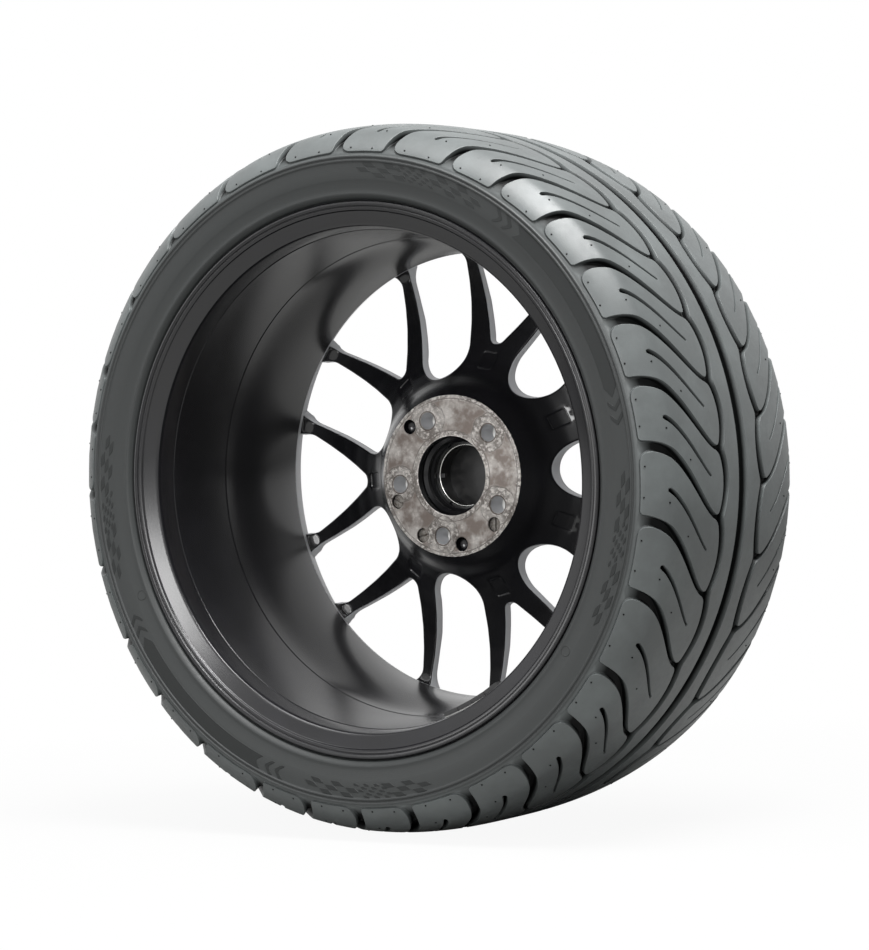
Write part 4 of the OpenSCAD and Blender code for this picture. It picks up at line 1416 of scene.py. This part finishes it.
def stub(shell: Shell, foot: np.ndarray, up: np.ndarray) -> None:
    """Adds a vent stub: a small stump with a rounded end.

    Args:
        shell: takes its points and faces.
        foot: where it stands.
        up: the way it points.
    """
    side = unit(np.cross(up, (0.0, 1.0, 0.3)))
    ring = ways(np.arange(STUB_SIDES) * 2 * math.pi / STUB_SIDES) @ np.stack([side, np.cross(up, side)])
    rows = [
        shell.add(foot + ring * radius + up * height, ring * lean + up * (1 - lean), STUB_SHADE_MARK)
        for radius, height, lean in STUB_ROWS
    ]
    shell.strips(rows)
    shell.fan(rows[-1], shell.add((foot + up * STUB_ROWS[-1][1])[None], up[None], STUB_SHADE_MARK)[0])


def zipped(mesh: Mesh) -> Mesh:
    """Closes the two seams on the middle plane, where the sides' points don't face each other.

    Args:
        mesh: the welded mesh of both sides.

    Returns:
        A new mesh, closed all round.
    """
    at, lean, mark = read_points(mesh)
    faces = [tuple(p.vertices) for p in mesh.polygons]
    directed = {(a, b) for f in faces for a, b in zip(f, f[1:] + f[:1])}
    rim = sorted({v for a, b in directed if (b, a) not in directed for v in (a, b)})
    radius, turn = np.hypot(at[:, 0], at[:, 2]), np.arctan2(at[:, 2], at[:, 0])
    middle = (radius[rim].max() + radius[rim].min()) / 2
    for outer in (True, False):
        chosen = [v for v in rim if (radius[v] > middle) == outer]
        loops = [sorted((v for v in chosen if at[v, 1] * s > 0), key=lambda v: turn[v]) for s in (-1, 1)]
        faces += stitched(loops, turn, outer)
    return marked_mesh("tyre", at, faces, lean, mark)


def stitched(loops: list[list[int]], turn: np.ndarray, outer: bool) -> list[tuple[int, int, int]]:
    """Fills the band between two closed loops whose points lie at different angles.

    Args:
        loops: the two loops, each sorted by angle.
        turn: every point's angle.
        outer: whether the band faces away from the axle.

    Returns:
        The triangles of the band.
    """
    left, right = loops
    faces: list[tuple[int, int, int]] = []
    i = j = 0
    while i < len(left) or j < len(right):
        a, b = left[i % len(left)], right[j % len(right)]
        a2, b2 = left[(i + 1) % len(left)], right[(j + 1) % len(right)]
        turn_a = turn[a2] + (2 * math.pi if i + 1 >= len(left) else 0)
        turn_b = turn[b2] + (2 * math.pi if j + 1 >= len(right) else 0)
        if j >= len(right) or (i < len(left) and turn_a <= turn_b):
            faces.append((a, b, a2) if outer else (a, a2, b))
            i += 1
        else:
            faces.append((a, b, b2) if outer else (a, b2, b))
            j += 1
    return faces


@dataclass
class SidewallMarks:
    """The plain marks of the sidewall: chequered flags, arrow panels with chevrons, and rings.

    They are thin plates on the wall, drawn as outlines of [radius, degrees]. Their surface mark
    darkens them a little.
    """

    profile: TyreProfile
    side: Side
    low: float = 268.6
    high: float = 281.4
    height: float = 0.3
    edge: float = 0.08
    sunk: float = 0.15
    shade: float = 2.6
    gap: float = 0.05
    chequers: tuple[tuple[float, int, int, float], ...] = (
        (13.5, 4, 3, 2.3), (4.3, 6, 5, 1.15), (-2.6, 5, 3, 2.3),
    )
    chevrons: tuple[float, ...] = (-19.6, -22.0, 20.1, 22.5)
    chevron_w: float = 0.95
    chevron_tip: float = 1.4
    ring_centre: float = 260.0
    ring_shade: float = 2.1
    ring_rows: Line = ((4.9, -0.1), (4.6, 0.25), (4.2, 0.25), (3.9, -0.1))
    flags: tuple[float, ...] = (74.5, 186.0, 273.5, 348.5)
    panels: tuple[float, ...] = (32.0, 229.0)
    rings: tuple[float, ...] = (-35.0, 203.0)

    def on_wall(self, flat: np.ndarray, rise: float) -> np.ndarray:
        """Sets flat points on the wall, or a little off it."""
        return on_axle(flat, (self.profile.wall_y(np.linalg.norm(flat, axis=1)) + rise) * self.side.value)

    def plate(self, shell: Shell, outline: Sequence[Pair]) -> None:
        """Adds a plate.

        Args:
            shell: takes its points and faces.
            outline: its corners, [radius, degrees], anticlockwise.
        """
        line = resampled(np.array([(r, math.radians(a) * r) for r, a in outline]), 2.5, True)
        foot = ways(line[:, 1] / line[:, 0]) * line[:, :1]
        out = outward(foot, True)
        top = foot - out * 0.3
        chart = FlatMap()
        chart.line(top)
        edge = foot - out * self.edge
        rows = [
            shell.add(
                self.on_wall(flat, rise), on_axle(out * lean, (1.02 - lean) * self.side.value), self.shade
            )
            for flat, rise, lean in (
                (foot, -self.sunk, 0.9), (edge, self.height - self.edge, 0.6), (top, self.height, 0.0),
            )
        ]
        shell.strips(rows)
        shell.faces += [tuple(rows[-1][t]) for t in chart.triangles(lambda middles: inside(top, middles))]

    def flag(self) -> Mesh:
        """Draws a chequered flag: coarse squares at its ends, fine ones in the middle."""
        shell, gap = Shell(), self.gap
        for first, columns, rows, width in self.chequers:
            high = (self.high - self.low) / rows
            for row in range(rows):
                outer = self.high - row * high
                inner = outer - high + 2 * gap
                for column in range((row + 1) % 2, columns, 2):
                    a = first - (column + row / 2) * width
                    b = a - width / 2
                    corners = [
                        (outer, a - width + gap), (outer, a - gap), (inner, b - gap), (inner, b - width + gap)
                    ]
                    self.plate(shell, corners)
        return shell.mesh("flag")

    def arrow_panel(self) -> Mesh:
        """Draws a long panel that points round the wheel, with two chevrons before and behind it."""
        shell, middle = Shell(), (self.low + self.high) / 2
        ends = np.linspace(-16.5, 18.0, 24)
        upper, lower = [(self.high, a) for a in ends], [(self.low, a) for a in ends[::-1]]
        tip = self.chevron_tip
        self.plate(shell, upper + [(middle, ends[-1] - 1.3)] + lower + [(middle, ends[0] - 1.9)])
        for c in self.chevrons:
            far = c + self.chevron_w
            upper, lower = [(self.high, c), (self.high, far)], [(self.low, far), (self.low, c)]
            self.plate(shell, upper + [(middle, far - tip)] + lower + [(middle, c - tip)])
        return shell.mesh("arrow_panel")

    def ring(self) -> Mesh:
        """Draws a small ring."""
        shell, spokes, middle = Shell(), ways(np.radians(np.arange(0, 360, 15.0))), 4.4
        shell.strips([
            shell.add(
                self.on_wall(spokes * r + (self.ring_centre, 0.0), rise),
                on_axle(spokes * (r - middle) * 1.2, 0.8 * self.side.value),
                self.ring_shade,
            )
            for r, rise in self.ring_rows
        ])
        return shell.mesh("ring")

    def spots(self) -> list[tuple[float, int]]:
        """Gives each mark's angle and the number of its kind."""
        kinds = enumerate((self.flags, self.panels, self.rings))
        return [(turn, kind) for kind, turns in kinds for turn in turns]


@dataclass
class Tyre:
    """The moulded tyre: its tread, sidewalls, beads and liner in one closed mesh."""

    material: Material
    sizes: TyreSizes = TyreSizes()
    tread: TreadSizes = TreadSizes()

    def cells(self, side: Side, profile: TyreProfile) -> list[TreadCell]:
        """Gives the small, medium and large pitch of one side."""
        return [TreadCell(self.sizes, self.tread, profile, pitch, side) for pitch in Pitch]

    def half(self, side: Side, profile: TyreProfile) -> Mesh:
        """Lays one side's pitches round the tyre."""
        cells = [cell.mesh() for cell in self.cells(side, profile)]
        return laid_round(f"half_{side.name}", cells, self.tread.spots(side), self.material)

    def extras(self, side: Side, profile: TyreProfile) -> list[Mesh]:
        """Lays the vent stubs and the moulded marks of one side round it."""
        vents = [cell.vents() for cell in self.cells(side, profile)]
        marks = SidewallMarks(profile, side)
        plates = [marks.flag(), marks.arrow_panel(), marks.ring()]
        return [
            laid_round(f"vents_{side.name}", vents, self.tread.spots(side), self.material),
            laid_round(f"marks_{side.name}", plates, marks.spots(), self.material),
        ]

    def build(self) -> bpy.types.Object:
        """Builds the whole tyre as one object."""
        profile = TyreProfile(self.sizes)
        body = zipped(merged([self.half(side, profile) for side in Side]))
        extras = [mesh for side in Side for mesh in self.extras(side, profile)]
        return finished("moulded_tyre", merged([body, *extras]), self.material)


# The wheel


@dataclass(frozen=True)
class WheelSizes:
    """The wheel's sizes, angles in degrees; places along the axle grow towards the outside.

    Sections are [radius, place along the axle]. The surface marks of the wheel are the share of the
    outboard paint, or two where it was machined bare.
    """

    pairs: int = 7
    pair_start: float = 27.2
    sector_steps: int = 24
    hub_edge: float = 80.0
    spokes_end: float = 233.0
    wide_window: tuple[float, float, float] = (95.0, 27.0, 3.6)
    narrow_window: tuple[float, float, float] = (125.2, 7.5, 30.0)
    window_rounds: Pair = (203.0, 218.0)
    rim_round: float = 6.0
    edge_round: float = 2.4
    edge_steps: tuple[float, ...] = (0.0, 0.25, 0.8, 1.5, 2.4)
    front_draft: float = 2.6
    root_draft: float = 6.0
    root_end: float = 135.0
    root_length: float = 35.0
    parting: float = 0.55
    parting_rows: tuple[tuple[float, float, float], ...] = (
        (-0.5, 0.12, 0.0), (0.0, 0.4, 0.0), (0.5, 0.12, 0.22),
    )
    panel: tuple[float, float, float, float] = (109.0, 16.5, 15.5, 2.2)
    panel_depth: float = 1.3
    panel_rows: tuple[tuple[float, float, float], ...] = (
        (0.0, 0.0, 0.25), (-0.4, 0.35, 0.7), (-0.9, 1.0, 0.7), (-1.4, 1.0, 0.0),
    )
    pad_y: float = 35.0
    pad_radius: float = 75.7
    pad_edge_slope: float = 0.63
    pad_rings: tuple[Pair, ...] = ((76.5, 0.0), (75.7, 0.25), (74.9, 0.0))
    rim_bevel: float = 0.35
    hole_bevel: float = 0.3
    bore_bevel: float = 0.25
    mouth_depth: float = 1.2
    pocket_drop: float = 1.5
    blind_chamfer: float = 0.5
    bolt_circle: float = 57.15
    bolt_turns: tuple[float, ...] = (42.9, 114.9, 186.9, 258.9, 330.9)
    bolt_radius: float = 8.0
    bolt_seat_y: float = 57.0
    nut_radius: float = 14.5
    nut_y: float = 68.26
    blind_circle: float = 64.5
    blind_turns: tuple[float, ...] = (133.4, 201.0, 239.0, 278.3, 314.6)
    blind_radius: float = 6.8
    blind_y: float = 44.0
    painted_from: float = 83.0
    bore_painted_from: float = 80.0
    back: Line = (
        (74.9, 35.0), (75.7, 35.8), (84.7, 45.6), (93.5, 58.7), (108.7, 71.5), (123.7, 80.5), (145.0, 91.0),
        (165.0, 98.0), (185.0, 102.0), (204.0, 103.4), (208.5, 102.8), (212.0, 100.8), (214.6, 97.6),
        (216.2, 94.2), (217.6, 95.0), (233.0, 119.0),
    )
    front: Line = (
        (35.2, 85.0), (70.0, 86.0), (84.0, 84.4), (95.0, 85.6), (123.7, 97.5), (145.0, 107.0), (165.4, 114.0),
        (209.4, 118.6), (233.0, 120.5),
    )
    bore: Line = (
        (38.15, 35.0), (36.55, 37.0), (36.55, 45.0), (33.3, 48.0), (33.3, 53.0), (31.5, 55.0), (31.5, 81.0),
        (34.4, 81.0), (34.4, 84.2), (35.2, 85.0),
    )
    flange_face: Line = ((245.1, 126.0), (247.0, 126.0), (248.2, 125.0))
    bead_seat: Line = ((229.82, 94.3), (230.62, 92.3), (230.62, 89.3))
    drum_edge: Pair = (227.82, -80.3)
    bend: tuple[Pair, Pair] = ((223.92, -21.0), (214.0, 50.0))
    barrel_wall: float = 4.6
    barrel_end: Pair = (214.0, 74.0)
    outboard_lip: Line = (
        (241.5, 126.0), (236.5, 124.0), (231.8, 122.3), (230.2, 121.2), (229.2, 119.4), (228.4, 117.0),
        (210.6, 86.4), (209.8, 84.2), (209.4, 81.5),
    )
    inboard_lip: Line = (
        (218.7, -12.13), (218.85, -19.6), (219.35, -20.6), (219.4, -22.0), (223.4, -93.0), (223.5, -94.9),
        (224.1, -95.9), (224.25, -97.2), (225.2, -112.4), (225.6, -114.2), (226.5, -116.2), (228.0, -117.5),
        (229.2, -118.1), (238.4, -121.8), (239.1, -122.2), (240.0, -123.9), (240.8, -124.3), (242.4, -124.8),
        (243.3, -124.3), (243.9, -125.6),
    )

    def rim_section(self) -> np.ndarray:
        """Draws the rim's closed section: inside, inboard flange, outside and outboard flange."""
        crest, root = arc((239.0, 123.8), 9.5, 0, -90, 6), arc((237.5, 107.8), 6.5, 90, 180, 4)
        flange = np.vstack([self.flange_face, crest, root, self.bead_seat])
        t, (low, high) = np.linspace(0, 1, 9), np.array(self.bend)
        bend = low + (high - low) * np.stack([smooth_step(t), t], 1)
        inner_bend = (bend - (self.barrel_wall, 0.0))[:1:-1]
        inner = [self.outboard_lip, inner_bend, self.inboard_lip]
        outer = [flange * [1, -1], [self.drum_edge], bend, [self.barrel_end], flange[::-1]]
        return np.vstack(inner + outer)


@dataclass
class Rise:
    """A surface of revolution seen along the axle: its place along the axle at each radius."""

    line: Line
    soft_range: Pair = (78.0, 206.0)
    softness: float = 2.6
    step: float = 0.1

    def __post_init__(self) -> None:
        """Rounds the line's bends inside the range of radii where it is soft."""
        known, edge = np.array(self.line), int(round(3 * self.softness / self.step))
        self.radius = np.arange(known[0, 0], known[-1, 0] + 0.01, self.step)
        sharp = np.interp(self.radius, known[:, 0], known[:, 1])
        weight = np.exp(-((np.arange(-edge, edge + 1) * self.step / self.softness) ** 2) / 2)
        ends = [2 * sharp[0] - sharp[edge:0:-1], sharp, 2 * sharp[-1] - sharp[-2 : -edge - 2 : -1]]
        soft = np.convolve(np.concatenate(ends), weight / weight.sum(), "valid")
        start, end = self.soft_range
        share = smooth_step((self.radius - start) / 3) * smooth_step((end - self.radius) / 3)
        self.place = sharp + (soft - sharp) * share
        self.slope = np.gradient(self.place, self.radius)

    def at(self, radius: np.ndarray | float) -> np.ndarray:
        """Gives the place at radii."""
        return np.interp(radius, self.radius, self.place)

    def laid(self, chart: FlatMap, way: float, edge: Pair = (0.0, 0.0)) -> tuple[np.ndarray, np.ndarray]:
        """Lays a flat map on the surface.

        Args:
            chart: the map.
            way: the way along the axle that the surface faces, -1 or 1.
            edge: the radius of a chamfered edge, and the slope that its points show.

        Returns:
            The points' places, and the ways that they face.
        """
        flat, depth, lean = chart.arrays()
        radius = np.linalg.norm(flat, axis=1)
        slope = np.interp(radius, self.radius, self.slope)
        slope = np.where(np.abs(radius - edge[0]) < 0.75, edge[1], slope)
        base = unit(on_axle(-way * slope[:, None] * unit(flat), way))
        level = np.sqrt(np.clip(1 - (lean**2).sum(1), 0, 1))
        at = on_axle(flat, self.at(radius) - way * np.abs(depth))
        return at, base * level[:, None] + on_axle(lean, 0.0)


@dataclass
class SpokeSector:
    """One of the equal sectors round the hub: a narrow window and the halves of two wide ones."""

    sizes: WheelSizes
    back: Rise
    front: Rise
    shell: Shell = field(default_factory=Shell)

    EDGE_SPACING = 2.6
    DOT_SPACING = 3.0
    CLEARANCE = 1.5

    def half_edge(self, window: tuple[float, float, float]) -> tuple[np.ndarray, np.ndarray]:
        """Draws one side of a window from its foot to the rim.

        Args:
            window: the foot's radius, half the foot's width, and the spread of its sides in degrees.

        Returns:
            The edge, [out, across], and the ways into the window.
        """
        foot, half, spread = window
        s = self.sizes
        line = arc((foot + half, 0.0), half, 180, 90 + spread, max(7, int(half * 1.1)))
        along = np.array([math.cos(math.radians(spread)), math.sin(math.radians(spread))])
        b = float(line[-1] @ along)
        reach = math.sqrt(b * b - float(line[-1] @ line[-1]) + s.spokes_end**2) - b
        shares = np.linspace(0, 1, int(reach / self.EDGE_SPACING))[1:, None]
        line = np.vstack([line, line[-1] + along * reach * shares])
        start, end = s.window_rounds
        t = np.clip((np.linalg.norm(line, axis=1) - start) / (end - start), 0, 1)
        line = line + np.array([along[1], -along[0]]) * (s.rim_round * t**2)[:, None]
        into = outward(line, False)
        into[0] = (1.0, 0.0)
        return line, into

    def edges(self) -> list[tuple[np.ndarray, np.ndarray]]:
        """Gives the sector's three window edges in its own plane, with the ways into the windows."""
        turn = math.pi / self.sizes.pairs
        to_upper = np.array([[math.cos(turn), math.sin(turn)], [math.sin(turn), -math.cos(turn)]])
        upper = tuple(part @ to_upper for part in self.half_edge(self.sizes.wide_window))
        lower = tuple(part * [1, -1] for part in upper)
        narrow = self.half_edge(self.sizes.narrow_window)
        return [upper, tuple(np.vstack([part[::-1], part[1:] * [1, -1]]) for part in narrow), lower]

    def offset(self, line: np.ndarray, into: np.ndarray, by: np.ndarray | float) -> np.ndarray:
        """Moves an edge away from its window, and keeps the ends that lie on the rim there."""
        moved = line - into * np.reshape(by, (-1, 1))
        for end in (0, -1):
            if np.linalg.norm(line[end]) > self.sizes.spokes_end - 1:
                moved[end] *= self.sizes.spokes_end / np.linalg.norm(moved[end])
        return moved

    def draft(self, line: np.ndarray) -> np.ndarray:
        """Gives how far the window opens from its back edge to its front edge."""
        radius = np.linalg.norm(line, axis=1)
        s = self.sizes
        return s.front_draft + s.root_draft * smooth_step((s.root_end - radius) / s.root_length)

    def holes(self, bounds: list[np.ndarray]) -> list[np.ndarray]:
        """Closes the window edges into outlines."""
        turn, far = math.pi / self.sizes.pairs, self.sizes.spokes_end + 40
        upper, whole, lower = bounds
        tips = ways(np.array([turn, -turn])) * far
        return [
            np.vstack([upper, upper[-1:] * 1.2, tips[:1]]),
            np.vstack([whole, whole[-1:] * 1.2, whole[:1] * 1.2]),
            np.vstack([lower, lower[-1:] * 1.2, tips[1:]]),
        ]

    def draw_panel(self, chart: FlatMap) -> list[np.ndarray]:
        """Draws the shallow moulded panel at the root of the spokes, and gives its rings."""
        centre, long, wide, corner = self.sizes.panel
        rings = []
        for grow, depth, tilt in self.sizes.panel_rows:
            r = max(0.6, corner + grow)
            x, y = long / 2 + grow - r, wide / 2 + grow - r
            signs = ((1, 1, 0), (-1, 1, 90), (-1, -1, 180), (1, -1, 270))
            corners = [arc((sx * x + centre, sy * y), r, a, a + 90, 4) for sx, sy, a in signs]
            rings.append(resampled(np.vstack(corners), 1.6, True))
            chart.line(rings[-1], -depth * self.sizes.panel_depth, -outward(rings[-1], True) * tilt)
        return rings

    def draw_tops(self, chart: FlatMap, bounds: list[np.ndarray], near: np.ndarray, is_back: bool) -> None:
        """Adds points inside the face, so that it follows its curves.

        Args:
            chart: takes the points.
            bounds: the face's window edges.
            near: points that the new ones keep off.
            is_back: whether the face has the panel.
        """
        s, turn = self.sizes, math.pi / self.sizes.pairs
        centre, long, wide, _ = s.panel
        holes, edges = self.holes(bounds), [resampled(line, 0.8) for line in bounds]
        for radius in np.arange(s.hub_edge + self.EDGE_SPACING, s.spokes_end - 1, self.DOT_SPACING):
            count = max(2, int(2 * turn * radius / self.DOT_SPACING))
            dots = ways(np.linspace(-turn, turn, count + 1)[1:-1]) * radius
            clear = distance(dots, near) > self.CLEARANCE
            for hole, edge in zip(holes, edges):
                clear &= ~inside(hole, dots) & (distance(dots, edge) > s.edge_round + 1.0)
            for p in dots[clear]:
                in_panel = is_back and abs(p[0] - centre) < long / 2 and abs(p[1]) < wide / 2
                chart.point(p, -s.panel_depth if in_panel else 0.0)

    def face(self, rise: Rise, is_back: bool) -> list[np.ndarray]:
        """Fills one face of the spokes.

        Args:
            rise: the face's places along the axle.
            is_back: whether it is the face towards the car.

        Returns:
            The numbers of the points along each window edge.
        """
        s, chart, turn, r = self.sizes, FlatMap(), math.pi / self.sizes.pairs, self.sizes.edge_round
        bounds, loops, reach = [], [], []
        for line, into in self.edges():
            base = self.offset(line, into, 0.0 if is_back else self.draft(line))
            rings = [self.offset(base, into, d) for d in s.edge_steps]
            drops = [r - math.sqrt(r * r - (r - d) ** 2) for d in s.edge_steps]
            numbers = [
                chart.line(ring, drop, into * min((r - d) / r, 0.9999), False)
                for ring, drop, d in zip(rings, drops, s.edge_steps)
            ]
            bounds.append(base)
            loops.append(numbers[0])
            reach.append(rings[-1])
        inner = ways(np.linspace(-turn, turn, s.sector_steps + 1)) * s.hub_edge
        chart.line(inner, closed=False)
        foot = np.linalg.norm(reach[0][0])
        for side in (-turn, turn):
            chart.line(ways(np.full(5, side)) * np.linspace(s.hub_edge, foot, 5)[:, None], closed=False)
        panel = self.draw_panel(chart) if is_back else []
        self.draw_tops(chart, bounds, np.vstack(reach + [inner] + panel), is_back)
        holes = self.holes(bounds)

        def keep(middles: np.ndarray) -> np.ndarray:
            """Keeps what lies in the sector and in no window."""
            good = np.linalg.norm(middles, axis=1) > s.hub_edge - 0.02
            good &= np.abs(np.arctan2(middles[:, 1], middles[:, 0])) < turn
            for hole in holes:
                good &= ~inside(hole, middles)
            return good

        found = chart.triangles(keep)
        _, depth, lean = chart.arrays()
        rounded = np.clip((lean**2).sum(1), 0, 1) * (depth > 0)
        numbers = self.shell.add(*rise.laid(chart, -1.0 if is_back else 1.0), rounded**2 if is_back else 1.0)
        self.shell.faces += [tuple(numbers[t]) for t in found]
        return [numbers[loop] for loop in loops]

    def mesh(self) -> Mesh:
        """Makes the sector's mesh: both faces and the walls of the windows, with their parting line."""
        back_rows, front_rows = self.face(self.back, True), self.face(self.front, False)
        y = np.vstack(self.shell.at)[:, 1]
        for (line, into), low, high in zip(self.edges(), back_rows, front_rows):
            middle = y[low] + (y[high] - y[low]) * self.sizes.parting
            walls = [
                self.shell.add(on_axle(line + into * inset, middle + shift), on_axle(into, tilt), 1.0)
                for shift, inset, tilt in self.sizes.parting_rows
            ]
            self.shell.strips([low, *walls, high], False)
        return self.shell.mesh("spoke_sector")


@dataclass
class Hub:
    """The middle of the wheel: the mounting pad with its holes, the bore, and the front of the hub."""

    sizes: WheelSizes
    back: Rise
    front: Rise
    shell: Shell = field(default_factory=Shell)

    HOLE_TURNS = np.radians(np.arange(0, 360, 9.0))
    MOUTH_ROWS = ((0.7, 0.0, 0.0), (0.3, 0.12, 0.6), (0.0, 0.5, 0.9999))
    DOT_SPACING = 3.2
    CLEARANCE = 1.4
    MOUTH_CLEARANCE = 1.5

    def turns(self) -> np.ndarray:
        """Gives the angles of the points on the hub's circles, which the sectors share."""
        s = self.sizes
        count = s.sector_steps * s.pairs
        return math.radians(s.pair_start) - math.pi / s.pairs + np.arange(count) * 2 * math.pi / count

    def face(
        self, is_back: bool, holes: list[tuple[np.ndarray, float]], inner: float
    ) -> tuple[list[np.ndarray], np.ndarray]:
        """Fills one face of the hub.

        Args:
            is_back: whether it is the mounting pad's side.
            holes: the centre and radius of each hole.
            inner: the radius of the opening in the middle.

        Returns:
            The numbers of the points round each hole, and those round the middle.
        """
        s, chart, spokes, small = self.sizes, FlatMap(), ways(self.turns()), ways(self.HOLE_TURNS)
        chart.line(spokes * s.hub_edge)
        if is_back:
            for radius, lean in s.pad_rings:
                chart.line(spokes * radius, 0.0, spokes * lean)
        middle, mouths = chart.line(spokes * inner), []
        for centre, size in holes:
            for grow, depth, lean in self.MOUTH_ROWS:
                mouth = chart.line(small * (size + grow) + centre, depth, -small * lean)
            mouths.append(mouth)
        near = np.array(chart.points)
        for radius in np.arange(inner + 3, s.hub_edge - 1, self.DOT_SPACING):
            count = int(2 * math.pi * radius / self.DOT_SPACING)
            dots = ways(np.arange(count) * 2 * math.pi / count) * radius
            clear = distance(dots, near) > self.CLEARANCE
            for centre, size in holes:
                clear &= np.linalg.norm(dots - centre, axis=1) > size + self.MOUTH_CLEARANCE
            for p in dots[clear]:
                chart.point(p)

        def keep(middles: np.ndarray) -> np.ndarray:
            """Keeps what lies outside the middle opening and in no hole."""
            good = np.linalg.norm(middles, axis=1) > inner * math.cos(math.pi / len(spokes))
            for centre, size in holes:
                good &= np.linalg.norm(middles - centre, axis=1) > size * 0.99
            return good

        found = chart.triangles(keep)
        edge = (s.pad_radius, s.pad_edge_slope)
        laid = self.back.laid(chart, -1.0, edge) if is_back else self.front.laid(chart, 1.0)
        numbers = self.shell.add(*laid, 0.0 if is_back else 1.0)
        self.shell.faces += [tuple(numbers[t]) for t in found]
        return [numbers[mouth] for mouth in mouths], numbers[middle]

    def hole(
        self, centre: np.ndarray, section: Line, back: np.ndarray, front: np.ndarray | None, mark: float
    ) -> None:
        """Lines a round hole.

        Args:
            centre: where its axis lies.
            section: its section from the front backwards.
            back: the numbers of the points round its back mouth.
            front: the numbers round its front mouth, or nothing if it is blind.
            mark: the surface mark of its wall; its seat, if it has one, is machined bare.
        """
        rows, normals = bevelled(np.array(section), False, self.sizes.hole_bevel)
        marks = np.where(rows[:, 0] > self.sizes.bolt_radius + 0.1, 2.0, mark)
        numbers = self.shell.swept(rows, normals, self.HOLE_TURNS, marks, centre)
        self.shell.strips([numbers[-1], back])
        if front is not None:
            self.shell.strips([front, numbers[0]])
            return
        bottom = on_axle(np.array([centre]), section[0][1])
        self.shell.fan(numbers[0], self.shell.add(bottom, np.array([[0.0, -1.0, 0.0]]), mark)[0])

    def mesh(self) -> Mesh:
        """Makes the hub's mesh."""
        s = self.sizes
        bolts = ways(np.radians(s.bolt_turns)) * s.bolt_circle
        blinds = ways(np.radians(s.blind_turns)) * s.blind_circle
        pad_holes = [(c, s.bolt_radius) for c in bolts] + [(c, s.blind_radius) for c in blinds]
        mouths, pad_bore = self.face(True, pad_holes, s.bore[0][0])
        fronts, front_bore = self.face(False, [(c, s.nut_radius) for c in bolts], s.bore[-1][0])
        pocket_y = float(self.front.at(s.bolt_circle)) - s.pocket_drop
        pocket = ((s.nut_radius, pocket_y), (s.nut_radius, s.nut_y))
        mouth_y = s.pad_y + s.mouth_depth
        through = (*pocket, (s.bolt_radius, s.bolt_seat_y), (s.bolt_radius, mouth_y))
        for centre, back, front in zip(bolts, mouths, fronts):
            self.hole(centre, through, back, front, 1.0)
        bottom = ((s.blind_radius - s.blind_chamfer, s.blind_y), (s.blind_radius, s.blind_y - s.blind_chamfer))
        for centre, back in zip(blinds, mouths[len(bolts) :]):
            self.hole(centre, (*bottom, (s.blind_radius, mouth_y)), back, None, 0.0)
        rows, normals = (values[1:-1] for values in bevelled(np.array(s.bore[::-1]), False, s.bore_bevel))
        painted = (rows[:, 1] > s.bore_painted_from).astype(float)
        numbers = self.shell.swept(rows, normals, self.turns(), painted)
        self.shell.strips([front_bore, numbers[0]])
        self.shell.strips([numbers[-1], pad_bore])
        return self.shell.mesh("hub")


@dataclass
class Wheel:
    """The cast wheel: rim, spokes and hub in one piece."""

    material: Material
    sizes: WheelSizes = WheelSizes()

    def rim(self) -> Mesh:
        """Sweeps the rim: both flanges, the barrel, the well and the flare behind the outboard lip."""
        rows, normals = bevelled(self.sizes.rim_section(), True, self.sizes.rim_bevel)
        shell, turns = Shell(), np.radians(np.arange(0, 360, 1.0))
        numbers = shell.swept(rows, normals, turns, (rows[:, 1] > self.sizes.painted_from).astype(float))
        shell.strips([numbers[-1], numbers[0]])
        return shell.mesh("rim")

    def build(self) -> bpy.types.Object:
        """Builds the whole wheel as one object."""
        s = self.sizes
        back, front = Rise(s.back), Rise(s.front)
        spots = [(s.pair_start + 360 / s.pairs * i, 0) for i in range(s.pairs)]
        spokes = laid_round("spokes", [SpokeSector(s, back, front).mesh()], spots, self.material)
        return finished("cast_wheel", merged([spokes, Hub(s, back, front).mesh(), self.rim()]), self.material)


# The whole


def dress_nodes(nodes: dict[str, bpy.types.Object], replaced: Iterable[str]) -> None:
    """Gives each shown node of the frame its finish.

    Args:
        nodes: the frame's nodes by name.
        replaced: the nodes that pieces of this file stand for.
    """
    made: dict[str, Material] = {}
    for name, obj in nodes.items():
        if name in replaced:
            continue
        finish = NODE_FINISHES[name]
        if finish.name not in made:
            made[finish.name] = finish.material()
        obj.data.materials.clear()
        obj.data.materials.append(made[finish.name])
        log.info("dressed %s in %s", name, finish.name)


def main() -> None:
    """Builds the studio and every piece."""
    logging.basicConfig(level=logging.INFO, format="%(message)s")
    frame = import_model()
    Studio().build(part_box("tyre")[0][2])
    tyre = Tyre(MouldedRubber().material()).build()
    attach(tyre, MAIN_BODY)
    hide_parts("tyre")
    log.info("moulded the tyre: %d faces", len(tyre.data.polygons))
    wheel = Wheel(CastWheelFinish().material()).build()
    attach(wheel, MAIN_BODY)
    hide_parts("wheel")
    log.info("cast the wheel: %d faces", len(wheel.data.polygons))
    dress_nodes(frame["nodes"], {"tyre", "wheel"})
    bpy.context.view_layer.update()


if __name__ == "__main__":
    main()
